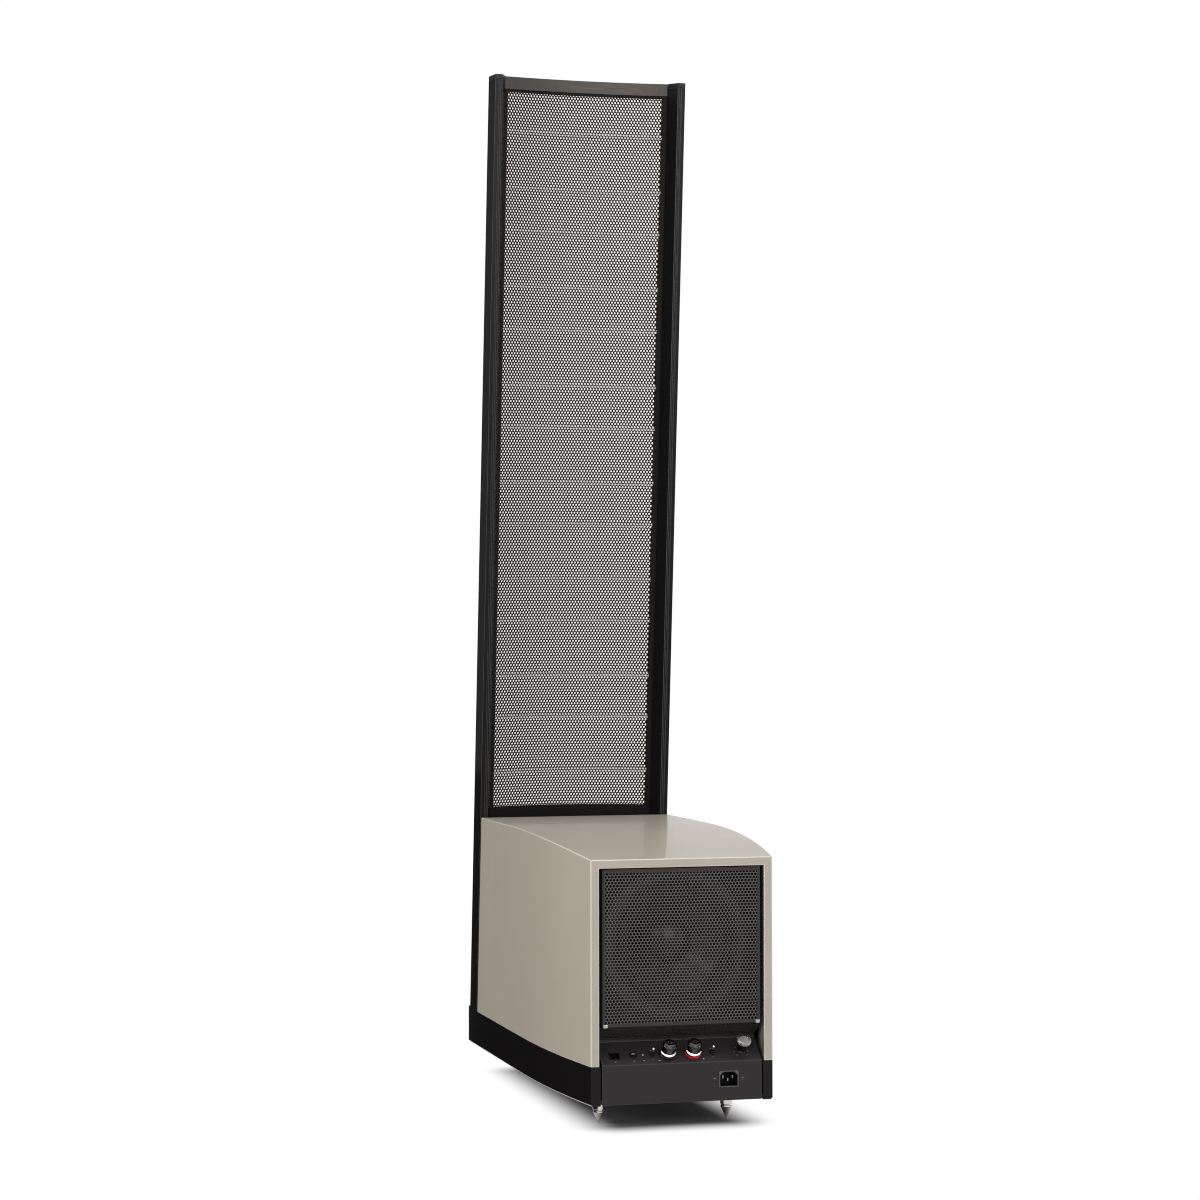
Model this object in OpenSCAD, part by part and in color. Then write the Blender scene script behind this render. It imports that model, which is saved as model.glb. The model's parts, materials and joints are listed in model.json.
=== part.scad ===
// Floorstanding speaker: a tall curved radiating panel in two rails, leaning over a bass cabinet
// with a driver at each end, on a spiked plinth. Millimetres; the front faces -Y, up is +Z, and
// the origin is on the floor, under the middle of the whole.

/* [Overall] */
// Width across the cabinet, the plinth and the rails
body_w = 302; // [290:1:320]
// Depth of the plinth, front to rear
plinth_d = 674; // [650:1:700]
// Height of the front top corners of the rails
body_h = 1540; // [1500:1:1600]
// Lean of the panel frame from upright, in degrees
panel_rake = 5.4; // [4.5:0.1:6]

/* [Plinth] */
// Gap between the floor and the plinth, which the spikes fill
spike_h = 39; // [34:1:46]
// Height of the plinth's sides, up to the seam with the cabinet
plinth_h = 53.5; // [50:0.5:60]
// How far the plinth's front deck stands above the seam
deck_rise = 3; // [2:0.5:5]
// Thickness of the front deck
deck_t = 14; // [10:1:18]
// Thickness of the plinth's walls
plinth_wall = 14; // [10:1:16]
// Thickness of the base plate
base_t = 6; // [4:1:8]
// How far the base plate lies above the plinth's lower edge
base_recess = 2; // [1:0.5:4]

/* [Cabinet] */
// Height of the cabinet's sides at the front
shell_h = 304.5; // [300:0.5:310]
// Thickness of the cabinet's painted walls
shell_wall = 12; // [10:0.5:14]
// Length of the straight part of the sides, from the plinth's front
straight_l = 367; // [340:1:400]
// Radius of the sides in plan, behind the straight part
side_r = 2240; // [2000:10:2600]
// Length of the level part of the top, from the plinth's front
level_l = 292; // [260:1:330]
// Radius of the top in side view, behind the level part
top_r = 3150; // [2800:10:3600]
// Gap between the rails and the cabinet's front edge
shell_gap = 4.7; // [4:0.1:6]
// Thickness of the inner boards that carry the drivers
board_t = 18; // [15:1:21]
// Thickness of the thinner inner boards
floor_t = 12; // [9:1:15]

/* [Rails and crossbars] */
// Width of each rail
rail_w = 20.5; // [18:0.5:24]
// Depth of each rail, front to rear
rail_d = 47; // [44:1:52]
// Width of the rail's rear face, the groove and rib included
rail_land = 11.5; // [10.5:0.5:12.5]
// Depth that the rail's canted inner face takes up
rail_cant = 22; // [18:1:24]
// Distance of the rail's front from the plinth's front
rail_setback = 10.5; // [8:0.5:14]
// Width of the groove in the rail's rear face
groove_w = 2.5; // [2:0.1:3]
// Depth of that groove
groove_d = 2; // [1:0.1:3]
// Width of the rib inside the groove
rib_w = 2.8; // [2:0.1:3.5]
// How far the rib lies below the rail's rear face
rib_drop = 0.8; // [0.5:0.1:1.5]
// Thickness of the rail's end caps
cap_t = 7; // [5:0.5:10]
// Height of each crossbar
crossbar_h = 19; // [16:0.5:24]
// Thickness of each crossbar
crossbar_t = 12; // [10:0.5:14]

/* [Radiating panel] */
// Height of the curved panel between the crossbars
panel_h = 1118; // [1090:1:1140]
// Radius of the film
arc_r = 541; // [500:1:600]
// Distance of the film behind the rails' front, where it meets them
film_inset = 12.8; // [12:0.1:14]
// Thickness of the film
film_t = 0.3; // [0.2:0.05:0.5]
// Distance between the film and each sheet
film_gap = 2.8; // [2.2:0.1:3.2]
// Thickness of each perforated sheet
sheet_t = 1.2; // [1:0.1:1.5]
// How deep the panel's edges reach into the rails
slot_depth = 6; // [4:0.5:8]
// Width of the edge insulators beside the rails
insulator_w = 8; // [6:0.5:10]
// Height of the edge insulators beside the crossbars
insulator_h = 4; // [3:0.5:6]
// Number of pairs of spars across the panel
spar_pairs = 7; // [5:1:8]
// Distance from one pair of spars to the next
spar_pitch = 151.5; // [140:0.5:158]
// Distance between the two spars of a pair
spar_step = 86; // [70:1:95]
// Height of the lowest spar above the panel's foot
spar_foot = 59.5; // [40:0.5:70]
// Height of each spar
spar_h = 6; // [4:0.5:8]

/* [Drivers] */
// Diameter of the driver's flange
flange_d = 210; // [204:1:214]
// Thickness of the flange
flange_t = 5; // [4:0.5:7]
// Diameter of the cut-out behind the flange
cutout_d = 186; // [184:1:188]
// Diameter of the circle of flange screws
bolt_circle_d = 198; // [196:0.5:200]
// Diameter of the flange screw holes
bolt_d = 5; // [4:0.5:5.5]
// Number of flange screws
bolt_n = 8; // [4:1:8]
// Outer radius of the cone
cone_r = 71.5; // [68:0.5:74]
// Depth of the cone
cone_depth = 30; // [26:1:34]
// Thickness of the cone
cone_t = 1.5; // [1:0.1:2]
// Radius of the dust cap
dust_r = 31; // [26:1:36]
// Inner radius of the voice coil's former
coil_r = 19.2; // [18:0.1:21]
// Clearance between the coil and the motor, radially
coil_gap = 0.4; // [0.3:0.05:0.6]
// Radius of the magnet
magnet_r = 62; // [56:1:66]
// Height of the magnet
magnet_h = 20; // [16:1:24]
// Thickness of each motor plate
plate_t = 8; // [6:0.5:10]
// Travel of the cone each way
cone_travel = 8; // [5:0.5:9]

/* [Grilles] */
// Thickness of the rear grille's sheet
grille_t = 1.5; // [1:0.1:2]
// How far the rear grille lies inside the plinth's rear face
grille_recess = 2; // [1:0.5:4]
// Gap between the rear grille's sides and the cabinet's walls
grille_side_gap = 5.4; // [4:0.1:7]
// Gap between the rear grille's top and the cabinet's top
grille_top_gap = 1.5; // [0.7:0.1:3]
// Width of the plain border of the front grille
grille_border = 15; // [10:0.5:18]
// Height of the rear grille's lower fold above the seam
fold_z = 53; // [50:1:58]
// Distance between the rear grille's face and the rear baffle
baffle_behind = 34.5; // [33:0.5:40]
// Length of the amplifier bay under the rear baffle
bay_l = 65; // [60:1:75]
// Height of the amplifier bay above the seam
bay_rise = 37.5; // [35:0.5:40]

/* [Control panel] */
// Gap between the control panel and the plinth's walls
control_gap = 1.9; // [1:0.1:3]
// Thickness of its sheet
control_t = 2; // [1.5:0.1:3]
// Rise of its sloping face, in degrees from level
slope = 40; // [36:1:44]
// Length of its sloping face
slope_l = 42; // [40:0.5:44]
// Height of its bend above the seam
bend_rise = 1.5; // [0.5:0.5:3]
// Distance of the controls from the bend, along the slope
control_s = 16.5; // [15:0.5:19]
// Distance of each terminal from the middle
terminal_x = 18; // [15:0.5:22]
// Distance of the level knob from the panel's end
knob_edge = 26; // [22:0.5:32]
// Place of the toggle beside the black terminal
toggle_a_x = 40; // [36:1:44]
// Place of the toggle beside the red terminal
toggle_b_x = -46; // [-52:1:-42]
// Place of the small jack
jack_x = 67; // [63:1:71]
// Place of the status light
light_x = 53; // [51:0.5:55]
// Distance of the mains inlet's middle from the panel's end
inlet_edge = 47.6; // [42:0.2:54]
// Height of the mains inlet's middle above the floor
inlet_z = 69.5; // [68:0.5:71]

/* [Small parts] */
// Radius of a terminal's cap
post_cap_r = 10; // [8.5:0.5:11]
// Radius of a terminal's bright ring
post_ring_r = 11; // [10:0.5:12]
// Radius of a terminal's stud
stud_r = 3; // [2.8:0.1:3.5]
// Radius of the plug bore in a stud
plug_r = 2; // [1.9:0.05:2.1]
// Depth of the plug bore
plug_depth = 14; // [10:1:15]
// Travel of a terminal's cap
cap_travel = 5; // [3:0.5:6]
// Radius of the level knob
knob_r = 10; // [8:0.5:12]
// Height of the knob's top above the sloping face
knob_h = 24; // [20:1:28]
// Radius of the knob's stem
stem_r = 5.5; // [4.5:0.5:7]
// Radius of the knob's shaft
shaft_r = 3; // [2.5:0.1:3.2]
// Radius of the small jack's bore
jack_r = 1.75; // [1.5:0.05:1.8]
// Radius of the toggle levers' tip
lever_r = 1.7; // [1.4:0.1:2]
// Length of the toggle levers above their pivot
lever_l = 13; // [10:0.5:15]
// Width of the data socket's mouth
socket_w = 12; // [10:0.5:13]
// Height of the data socket's mouth
socket_h = 8.5; // [7:0.5:9.5]
// Radius of a spike's collar
spike_r = 9; // [8:0.5:11]
// Radius of a spike's flat tip
spike_tip_r = 1; // [0.8:0.1:1.5]
// Radius of a spike's stud
spike_stud_r = 5; // [4:0.5:6]
// Length of a spike's stud above the base plate's underside
spike_stud_l = 20; // [18:1:26]
// Distance of the spikes from the plinth's straight sides
spike_side = 58; // [52:1:64]
// Distance from the plinth's rear to the rear spikes
spike_rear = 97; // [85:1:110]
// Distance from the plinth's front to the front spikes
spike_front = 101; // [90:1:110]

/* [Clearances] */
// Gap between pieces that are fixed beside each other
seat_gap = 0.2; // [0.1:0.05:0.3]
// Gap between pieces that move past each other
move_gap = 0.3; // [0.25:0.05:0.4]
// Radial clearance of a shaft or stud that turns or slides in its bore
run_gap = 0.05; // [0.02:0.01:0.08]

/* [Hidden] */

// How far the knob and the terminal caps stand behind the plinth's rear face
function overhang(h, r) = -control_s * cos(slope) + h * sin(slope) + r * cos(slope);
post_h = 22;
post_edge_r = 4;
knob_overhang = overhang(knob_h, knob_r);
post_overhang = overhang(post_h - post_edge_r, post_cap_r - post_edge_r) + post_edge_r;
rear_overhang = max(knob_overhang, post_overhang, 0);

half_w = body_w / 2;
y_front = -(plinth_d + rear_overhang) / 2;
y_rear = y_front + plinth_d;
taper_y = y_front + straight_l;
level_y = y_front + level_l;
seam_z = spike_h + plinth_h;
deck_z = seam_z + deck_rise;
top_z = seam_z + shell_h;
base_z = spike_h + base_recess;
base_top_z = base_z + base_t;

// The panel frame has its own axes: u runs back from the rails' front and w runs up along them
rail_foot_y = y_front + rail_setback;
frame_l = (body_h - deck_z) / cos(panel_rake);
inner_x = half_w - rail_w;
arc_u = film_inset + sqrt(arc_r * arc_r - inner_x * inner_x);
stack_half = film_t / 2 + film_gap + sheet_t;
panel_top_w = frame_l - crossbar_h;
panel_foot_w = panel_top_w - panel_h;
panel_edge_x = inner_x + slot_depth - move_gap;
shell_u = rail_d + shell_gap;
baffle_u = rail_d - rail_cant + 1;
big = 3000;
fine = 240;

grille_y = y_rear - grille_recess;
baffle_y = grille_y - baffle_behind;
fold_face_z = seam_z + fold_z;
roof_z = seam_z + bay_rise;
riser_y = baffle_y - board_t - bay_l;
bend_z = seam_z + bend_rise;
slope_end_y = y_rear - slope_l * cos(slope);
slope_end_z = bend_z + slope_l * sin(slope);

driver_w = (top_z - shell_wall - deck_z) / (2 * cos(panel_rake));
rear_driver_z = (roof_z + floor_t + inner_top(baffle_y)) / 2;

// Half-width of the cabinet and the plinth, and height of the cabinet's underside, at a given y
function half_at(y) = half_w - (y > taper_y ? side_r - sqrt(side_r * side_r - pow(y - taper_y, 2)) : 0);
function inner_top(y) =
    top_z - shell_wall - (y > level_y ? top_r - sqrt(top_r * top_r - pow(y - level_y, 2)) : 0);

spike_x = half_w - spike_side;
insert_r = spike_stud_r + 6;
spike_span = plinth_d - spike_front - spike_rear;
grille_x = half_at(grille_y) - shell_wall - grille_side_gap;
grille_top_z = inner_top(grille_y) - grille_top_gap;

// The control panel fills the plinth's rear; the data socket lies midway from the small jack to its end
control_x = half_at(y_rear) - plinth_wall - control_gap;
jack_collar_r = 5.5;
knob_x = knob_edge - control_x;
inlet_x = inlet_edge - control_x;
socket_x = (jack_x + jack_collar_r + control_x) / 2;

// ---- shared outlines ----

// Plan of the cabinet and the plinth, its sides drawn in by inset
module plan(inset = 0, front = 0, rear = 0) {
    w = half_w - inset;
    y0 = y_front + front;
    y1 = y_rear - rear;
    translate([-w, y0]) square([2 * w, taper_y - y0]);
    intersection() {
        translate([side_r - half_w, taper_y]) circle(r = side_r - inset, $fn = fine * 2);
        translate([half_w - side_r, taper_y]) circle(r = side_r - inset, $fn = fine * 2);
        translate([-w, taper_y - 1]) square([2 * w, y1 - taper_y + 1]);
    }
}

// Side view of the cabinet, Y across and Z up, its top drawn down by inset
module side_view(inset = 0, foot = seam_z) {
    translate([y_front, foot]) square([level_l, top_z - inset - foot]);
    intersection() {
        translate([level_y, top_z - top_r]) circle(r = top_r - inset, $fn = fine * 2);
        translate([level_y - 1, foot]) square([y_rear - level_y + 1, top_z - foot]);
    }
}

// Block that lies between the plan and the side view, both drawn in by inset
module cabinet_block(inset = 0, rear = 0) {
    intersection() {
        translate([0, 0, seam_z]) linear_extrude(shell_h) plan(inset, 0, rear);
        rotate([90, 0, 90]) translate([0, 0, -half_w]) linear_extrude(body_w) side_view(inset);
    }
}

// Puts pieces that are drawn in the panel frame's axes in their place
module raked() {
    translate([0, rail_foot_y, deck_z]) rotate([-panel_rake, 0, 0]) children();
}

// Everything behind the cabinet's front edge
module behind_front() {
    raked() translate([-half_w - 1, shell_u, -60]) cube([body_w + 2, plinth_d, shell_h + 160]);
}

// Cuts away what would reach below the front deck
module above_deck() {
    difference() {
        children();
        translate([-big / 2, y_front - 50, deck_z - 200]) cube([big, rail_d + shell_gap + 250, 200]);
    }
}

// The space inside the cabinet's walls, behind its front edge
module inner_space() {
    intersection() {
        cabinet_block(shell_wall + seat_gap);
        behind_front();
    }
}

// Curved bar round the panel's axis: radii r0 to r1, |x| up to x1, from w0 to w1
module arc_bar(r0, r1, x0, x1, w0, w1) {
    translate([0, 0, w0]) linear_extrude(w1 - w0) intersection() {
        translate([0, arc_u]) difference() {
            circle(r = r1, $fn = fine);
            circle(r = r0, $fn = fine);
        }
        translate([x0, arc_u - r1 - 1]) square([x1 - x0, r1 / 2]);
    }
}

// Puts a control on the sloping face, with its axis square to that face
module on_slope(x, s = control_s) {
    translate([x, y_rear - s * cos(slope), bend_z + s * sin(slope)])
        rotate([-slope, 0, 0]) children();
}

// ---- rails and crossbars ----

// Section of the right-hand rail, x outwards and u back; with_slot leaves room for the panel
module rail_section(with_slot = true) {
    groove_x = half_w - rail_land + rib_w;
    slot_u0 = arc_u - sqrt(pow(arc_r + stack_half, 2) - pow(inner_x, 2)) - seat_gap;
    slot_u1 = arc_u - sqrt(pow(arc_r - stack_half, 2) - pow(inner_x + slot_depth, 2)) + seat_gap;
    difference() {
        polygon([[inner_x, 0], [half_w, 0], [half_w, rail_d], [groove_x + groove_w, rail_d],
            [groove_x + groove_w, rail_d - groove_d], [groove_x, rail_d - groove_d],
            [groove_x, rail_d - rib_drop], [half_w - rail_land, rail_d - rib_drop],
            [inner_x, rail_d - rail_cant]]);
        if (with_slot) translate([inner_x - 1, slot_u0]) square([slot_depth + 1, slot_u1 - slot_u0]);
    }
}

module rail() {
    above_deck() raked() linear_extrude(frame_l - cap_t) rail_section();
}

module left_rail() {
    color("#26262a") mirror([1, 0, 0]) rail();
}

module right_rail() {
    color("#26262a") rail();
}

module rail_caps() {
    color("#3a3a3c") raked() translate([0, 0, frame_l - cap_t]) for (side = [0, 1])
        mirror([side, 0, 0]) linear_extrude(cap_t) rail_section(false);
}

module crossbar(w0) {
    raked() arc_bar(arc_r - crossbar_t / 2, arc_r + crossbar_t / 2, -inner_x, inner_x,
        w0, w0 + crossbar_h);
}

module top_crossbar() {
    color("#5c5a59") crossbar(panel_top_w);
}

module bottom_crossbar() {
    color("#1e1e20") crossbar(panel_foot_w - crossbar_h);
}

// ---- radiating panel ----

module stator(r0) {
    raked() arc_bar(r0, r0 + sheet_t, -panel_edge_x, panel_edge_x, panel_foot_w, panel_top_w);
}

module front_stator() {
    color("#8e857b") stator(arc_r + film_t / 2 + film_gap);
}

module rear_stator() {
    color("#4a4440") stator(arc_r - stack_half);
}

module diaphragm() {
    color("#d8d8d8", 0.4) raked() arc_bar(arc_r - film_t / 2, arc_r + film_t / 2,
        -panel_edge_x, panel_edge_x, panel_foot_w, panel_top_w);
}

// A spacer of the panel, once in front of the film and once behind it
module spacer(x0, x1, w0, w1) {
    near = film_t / 2 + seat_gap / 2;
    far = film_t / 2 + film_gap - seat_gap / 2;
    arc_bar(arc_r + near, arc_r + far, x0, x1, w0, w1);
    arc_bar(arc_r - far, arc_r - near, x0, x1, w0, w1);
}

module edge_insulators() {
    in_x = panel_edge_x - insulator_w;
    color("#111111") raked() {
        spacer(in_x, panel_edge_x, panel_foot_w, panel_top_w);
        spacer(-panel_edge_x, -in_x, panel_foot_w, panel_top_w);
        spacer(-in_x + seat_gap, in_x - seat_gap, panel_foot_w, panel_foot_w + insulator_h);
        spacer(-in_x + seat_gap, in_x - seat_gap, panel_top_w - insulator_h, panel_top_w);
    }
}

module spars() {
    in_x = panel_edge_x - insulator_w - seat_gap;
    color("#dcd8d2") raked() for (i = [0 : spar_pairs - 1]) for (j = [0, 1]) {
        w = panel_foot_w + spar_foot + i * spar_pitch + j * spar_step;
        spacer(-in_x, in_x, w - spar_h / 2, w + spar_h / 2);
    }
}

// ---- cabinet ----

module cabinet_shell() {
    color("#a39b8e") intersection() {
        difference() {
            cabinet_block();
            translate([0, 0, seam_z - 1]) linear_extrude(shell_h) plan(shell_wall, -1, -1);
        }
        behind_front();
    }
    color("#a39b8e") intersection() {
        difference() {
            cabinet_block(0);
            rotate([90, 0, 90]) translate([0, 0, -half_w]) linear_extrude(body_w)
                side_view(shell_wall, seam_z - 1);
        }
        behind_front();
    }
}

module front_baffle() {
    flange_x = half_w - 1.5;
    bevel = seat_gap * 1.2;
    color("#161616") difference() {
        above_deck() intersection() {
            raked() translate([0, 0, -20]) linear_extrude(shell_h + 80) for (side = [0, 1])
                mirror([side, 0, 0]) polygon([[0, baffle_u], [inner_x - bevel + 0.4, baffle_u],
                    [half_w - rail_land - bevel, rail_d + seat_gap], [flange_x, rail_d + seat_gap],
                    [flange_x, shell_u - seat_gap], [0, shell_u - seat_gap]]);
            translate([-half_w, y_front, deck_z]) cube([body_w, 200, top_z - 1 - deck_z]);
        }
        raked() at_front_driver() driver_cutout();
    }
}

module rear_baffle() {
    color("#161616") difference() {
        intersection() {
            inner_space();
            translate([-half_w, baffle_y - board_t, roof_z + floor_t + seat_gap])
                cube([body_w, board_t, shell_h]);
        }
        at_rear_driver() driver_cutout();
    }
}

module chamber_divider() {
    color("#6b5a45") intersection() {
        inner_space();
        translate([-half_w, -board_t / 2, seam_z + floor_t + seat_gap]) cube([body_w, board_t, shell_h]);
    }
}

module cabinet_floor() {
    color("#6b5a45") intersection() {
        inner_space();
        translate([-half_w, y_front, seam_z]) cube([body_w, riser_y + floor_t - y_front, floor_t]);
    }
}

// L-shaped cover that keeps the rear chamber apart from the amplifier bay
module amp_bay_cover() {
    foot_z = seam_z + floor_t + seat_gap;
    color("#6b5a45") intersection() {
        inner_space();
        rotate([90, 0, 90]) translate([0, 0, -half_w]) linear_extrude(body_w) polygon([
            [riser_y, foot_z], [riser_y + floor_t, foot_z], [riser_y + floor_t, roof_z],
            [baffle_y, roof_z], [baffle_y, roof_z + floor_t], [riser_y, roof_z + floor_t]]);
    }
}

// ---- grilles ----

module front_grille() {
    foot_w = -10;
    head_w = panel_foot_w - crossbar_h;
    border_x = panel_edge_x - grille_border;
    r1 = arc_r + stack_half;
    color("#222222") above_deck() raked() {
        arc_bar(r1 - sheet_t, r1, -panel_edge_x, panel_edge_x, foot_w, head_w);
        difference() {
            arc_bar(arc_r - stack_half, r1, -panel_edge_x, panel_edge_x, foot_w, head_w);
            translate([-border_x, -arc_r / 2, grille_border])
                cube([2 * border_x, arc_r, head_w - 2 * grille_border]);
        }
    }
}

module rear_grille() {
    x1 = grille_x;
    z1 = grille_top_z;
    fold_y = slope_end_y + 1.5;
    fold_end_z = slope_end_z + 4;
    t = grille_t;
    flange = baffle_behind - seat_gap;
    color("#3b3733") {
        rotate([90, 0, 90]) translate([0, 0, -x1]) linear_extrude(2 * x1) polygon([
            [grille_y - flange, z1], [grille_y, z1], [grille_y, fold_face_z],
            [fold_y, fold_end_z], [fold_y, fold_end_z + t * 1.2], [grille_y - t, fold_face_z + t * 0.6],
            [grille_y - t, z1 - t], [grille_y - flange, z1 - t]]);
        for (side = [-1, 1]) translate([side * (x1 - t / 2) - t / 2, grille_y - flange, fold_face_z])
            cube([t, flange, z1 - fold_face_z]);
    }
}

module grille_clips() {
    clip_w = 7;
    clip_h = 5.5;
    color("#c9c6c0") for (side = [-1, 1])
        translate([side * (grille_x - clip_w / 2 - 0.5) - clip_w / 2, grille_y, fold_face_z - 1])
            cube([clip_w, 1.2, clip_h]);
}

// ---- plinth ----

module plinth_skirt() {
    color("#1b1b1d") {
        difference() {
            translate([0, 0, spike_h]) linear_extrude(plinth_h) plan();
            translate([0, 0, spike_h - 1]) linear_extrude(plinth_h + 2) plan(plinth_wall, plinth_wall, -1);
        }
        difference() {
            translate([0, 0, deck_z - deck_t]) linear_extrude(deck_t) plan();
            behind_front();
            translate([-half_w, y_front + rail_setback + shell_u + 10, 0]) cube([body_w, plinth_d, deck_z + 1]);
        }
    }
}

module base_plate() {
    color("#2b2b2b") difference() {
        translate([0, 0, base_z]) linear_extrude(base_t)
            plan(plinth_wall + seat_gap, plinth_wall + seat_gap, control_t + seat_gap);
        at_spikes() translate([0, 0, base_z - 1]) cylinder(r = spike_stud_r + run_gap, h = base_t + 2, $fn = 48);
    }
}

module at_spikes() {
    for (sx = [-1, 1]) for (sy = [0, 1])
        translate([sx * spike_x, y_front + spike_front + sy * spike_span, 0]) children();
}

module spike_inserts() {
    color("#b08d4a") at_spikes() translate([0, 0, base_top_z]) difference() {
        cylinder(r = insert_r, h = spike_stud_l - base_t + 2, $fn = 6);
        translate([0, 0, -1]) cylinder(r = spike_stud_r + run_gap, h = spike_stud_l + 4, $fn = 48);
    }
}

module spike(x_side, y_side) {
    collar_z = base_z - move_gap;
    cone_top = collar_z - 7;
    color("#b9b6b1") translate([x_side * spike_x, y_front + spike_front + y_side * spike_span, 0]) {
        cylinder(r1 = spike_tip_r, r2 = spike_r, h = cone_top, $fn = 64);
        translate([0, 0, cone_top]) cylinder(r = spike_r, h = collar_z - cone_top, $fn = 64);
        translate([0, 0, collar_z]) cylinder(r = spike_stud_r, h = spike_stud_l, $fn = 48);
    }
}

module spike_front_left() { spike(-1, 0); }
module spike_front_right() { spike(1, 0); }
module spike_rear_left() { spike(-1, 1); }
module spike_rear_right() { spike(1, 1); }

// ---- drivers: drawn facing +Z, with the flange's front at z = 0 ----

module at_front_driver() {
    translate([0, baffle_u, driver_w]) rotate([90, 0, 0]) children();
}

module at_rear_driver() {
    translate([0, baffle_y, rear_driver_z]) rotate([-90, 0, 0]) children();
}

basket_depth = 55;
shelf_z = -42;
gap_top_z = -basket_depth;
rim_r = cutout_d / 2 - 1;
cone_top_z = -flange_t + 1.7;
cone_foot_z = cone_top_z - cone_depth;

module driver_cutout() {
    translate([0, 0, -flange_t - seat_gap]) cylinder(d = flange_d + 2 * seat_gap, h = flange_t + 2, $fn = 120);
    translate([0, 0, -80]) cylinder(d = cutout_d, h = 90, $fn = 120);
    for (i = [1 : bolt_n]) rotate([0, 0, (i + 0.5) * 360 / bolt_n]) translate([bolt_circle_d / 2, 0, -16])
        cylinder(d = bolt_d - 1, h = 20, $fn = 24);
}

module basket() {
    wall = 2.5;
    foot_r = 62;
    wall_at_shelf = rim_r - (rim_r - foot_r) * (-shelf_z - flange_t) / (basket_depth - flange_t) - wall / 2;
    color("#2d2d2f") difference() {
        rotate_extrude($fn = 120) {
            polygon([[cone_r + 12.5, -flange_t], [flange_d / 2, -flange_t], [flange_d / 2, 0],
                [rim_r - 1, 0], [rim_r - 1, -flange_t + 2], [cone_r + 12.5, -flange_t + 2]]);
            polygon([[rim_r, -flange_t], [foot_r, -basket_depth + 3], [foot_r, -basket_depth],
                [coil_r + 12, -basket_depth], [coil_r + 12, -basket_depth + 3], [foot_r - wall, -basket_depth + 3],
                [rim_r - wall, -flange_t]]);
            translate([wall_at_shelf - 12, shelf_z - 2]) square([12, 2]);
        }
        for (i = [1 : bolt_n]) rotate([0, 0, (i + 0.5) * 360 / bolt_n]) translate([bolt_circle_d / 2, 0, -flange_t - 1])
            cylinder(d = bolt_d, h = flange_t + 2, $fn = 24);
        for (i = [0 : 5]) rotate([0, 0, i * 60]) translate([40, -18, -38]) cube([60, 36, 26]);
    }
}

module motor() {
    z1 = gap_top_z - plate_t;
    z2 = z1 - magnet_h;
    pole_r = coil_r - coil_gap;
    coil_out_r = coil_r + 0.8;
    color("#3a3a3a") {
        difference() {
            translate([0, 0, z1]) cylinder(r = magnet_r - 2, h = plate_t, $fn = 96);
            translate([0, 0, z1 - 1]) cylinder(r = coil_out_r + coil_gap, h = plate_t + 2, $fn = 96);
        }
        difference() {
            translate([0, 0, z2]) cylinder(r = magnet_r, h = magnet_h, $fn = 96);
            translate([0, 0, z2 - 1]) cylinder(r = coil_r + 13, h = magnet_h + 2, $fn = 96);
        }
        difference() {
            union() {
                translate([0, 0, z2 - plate_t]) cylinder(r = magnet_r - 2, h = plate_t, $fn = 96);
                translate([0, 0, z2]) cylinder(r = pole_r, h = gap_top_z - z2, $fn = 96);
            }
            translate([0, 0, z2 - plate_t - 1]) cylinder(r = 6, h = plate_t + magnet_h + plate_t + 2, $fn = 48);
        }
    }
}

module coil() {
    coil_foot_z = gap_top_z - plate_t / 2 - 8;
    former_t = 0.3;
    color("#b87333") rotate_extrude($fn = 96) {
        translate([coil_r, coil_foot_z]) square([former_t, cone_foot_z - coil_foot_z + 1]);
        translate([coil_r + former_t / 2, coil_foot_z]) square([0.8 - former_t / 2, 16]);
    }
}

module cone() {
    foot_r = coil_r + 0.3 + seat_gap;
    color("#2a2a2c") rotate_extrude($fn = 120) polygon([[foot_r, cone_foot_z], [foot_r + cone_t, cone_foot_z],
        [cone_r, cone_top_z - cone_t], [cone_r, cone_top_z], [cone_r - cone_t, cone_top_z]]);
}

module dust_cap() {
    rise = 12;
    dome_r = (dust_r * dust_r + rise * rise) / (2 * rise);
    foot_r = coil_r + 0.3 + seat_gap;
    foot_z = cone_foot_z + cone_depth * (dust_r - foot_r) / (cone_r - cone_t - foot_r) + seat_gap;
    color("#333335") translate([0, 0, foot_z]) rotate_extrude($fn = 96) intersection() {
        translate([0, rise - dome_r]) difference() {
            circle(r = dome_r, $fn = 180);
            circle(r = dome_r - 1, $fn = 180);
        }
        square([dust_r, rise + 1]);
    }
}

module surround() {
    lip_z = -flange_t + 2;
    mid_r = cone_r + 6.5;
    color("#141414") rotate_extrude($fn = 120) {
        translate([cone_r - 3, lip_z]) square([4, 1]);
        translate([cone_r + 12, lip_z]) square([rim_r - 1.2 - cone_r - 12, 1]);
        intersection() {
            translate([mid_r, lip_z]) difference() {
                circle(r = 6, $fn = 60);
                circle(r = 5, $fn = 60);
            }
            translate([mid_r - 7, lip_z]) square([14, 8]);
        }
    }
}

module spider() {
    inner_r = coil_r + 0.8 + move_gap;
    outer_r = 62;
    rolls = 4;
    step = (outer_r - 12 - inner_r) / (2 * rolls);
    ridge = 1.1;
    top = [for (i = [0 : 2 * rolls]) [inner_r + i * step, shelf_z + 1 + (i % 2 == 0 ? 0 : ridge)]];
    under = [for (i = [2 * rolls : -1 : 0]) [inner_r + i * step, shelf_z + (i % 2 == 0 ? 0 : ridge)]];
    color("#a0702c") rotate_extrude($fn = 96)
        polygon(concat(top, [[outer_r, shelf_z + 1], [outer_r, shelf_z]], under));
}

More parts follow.
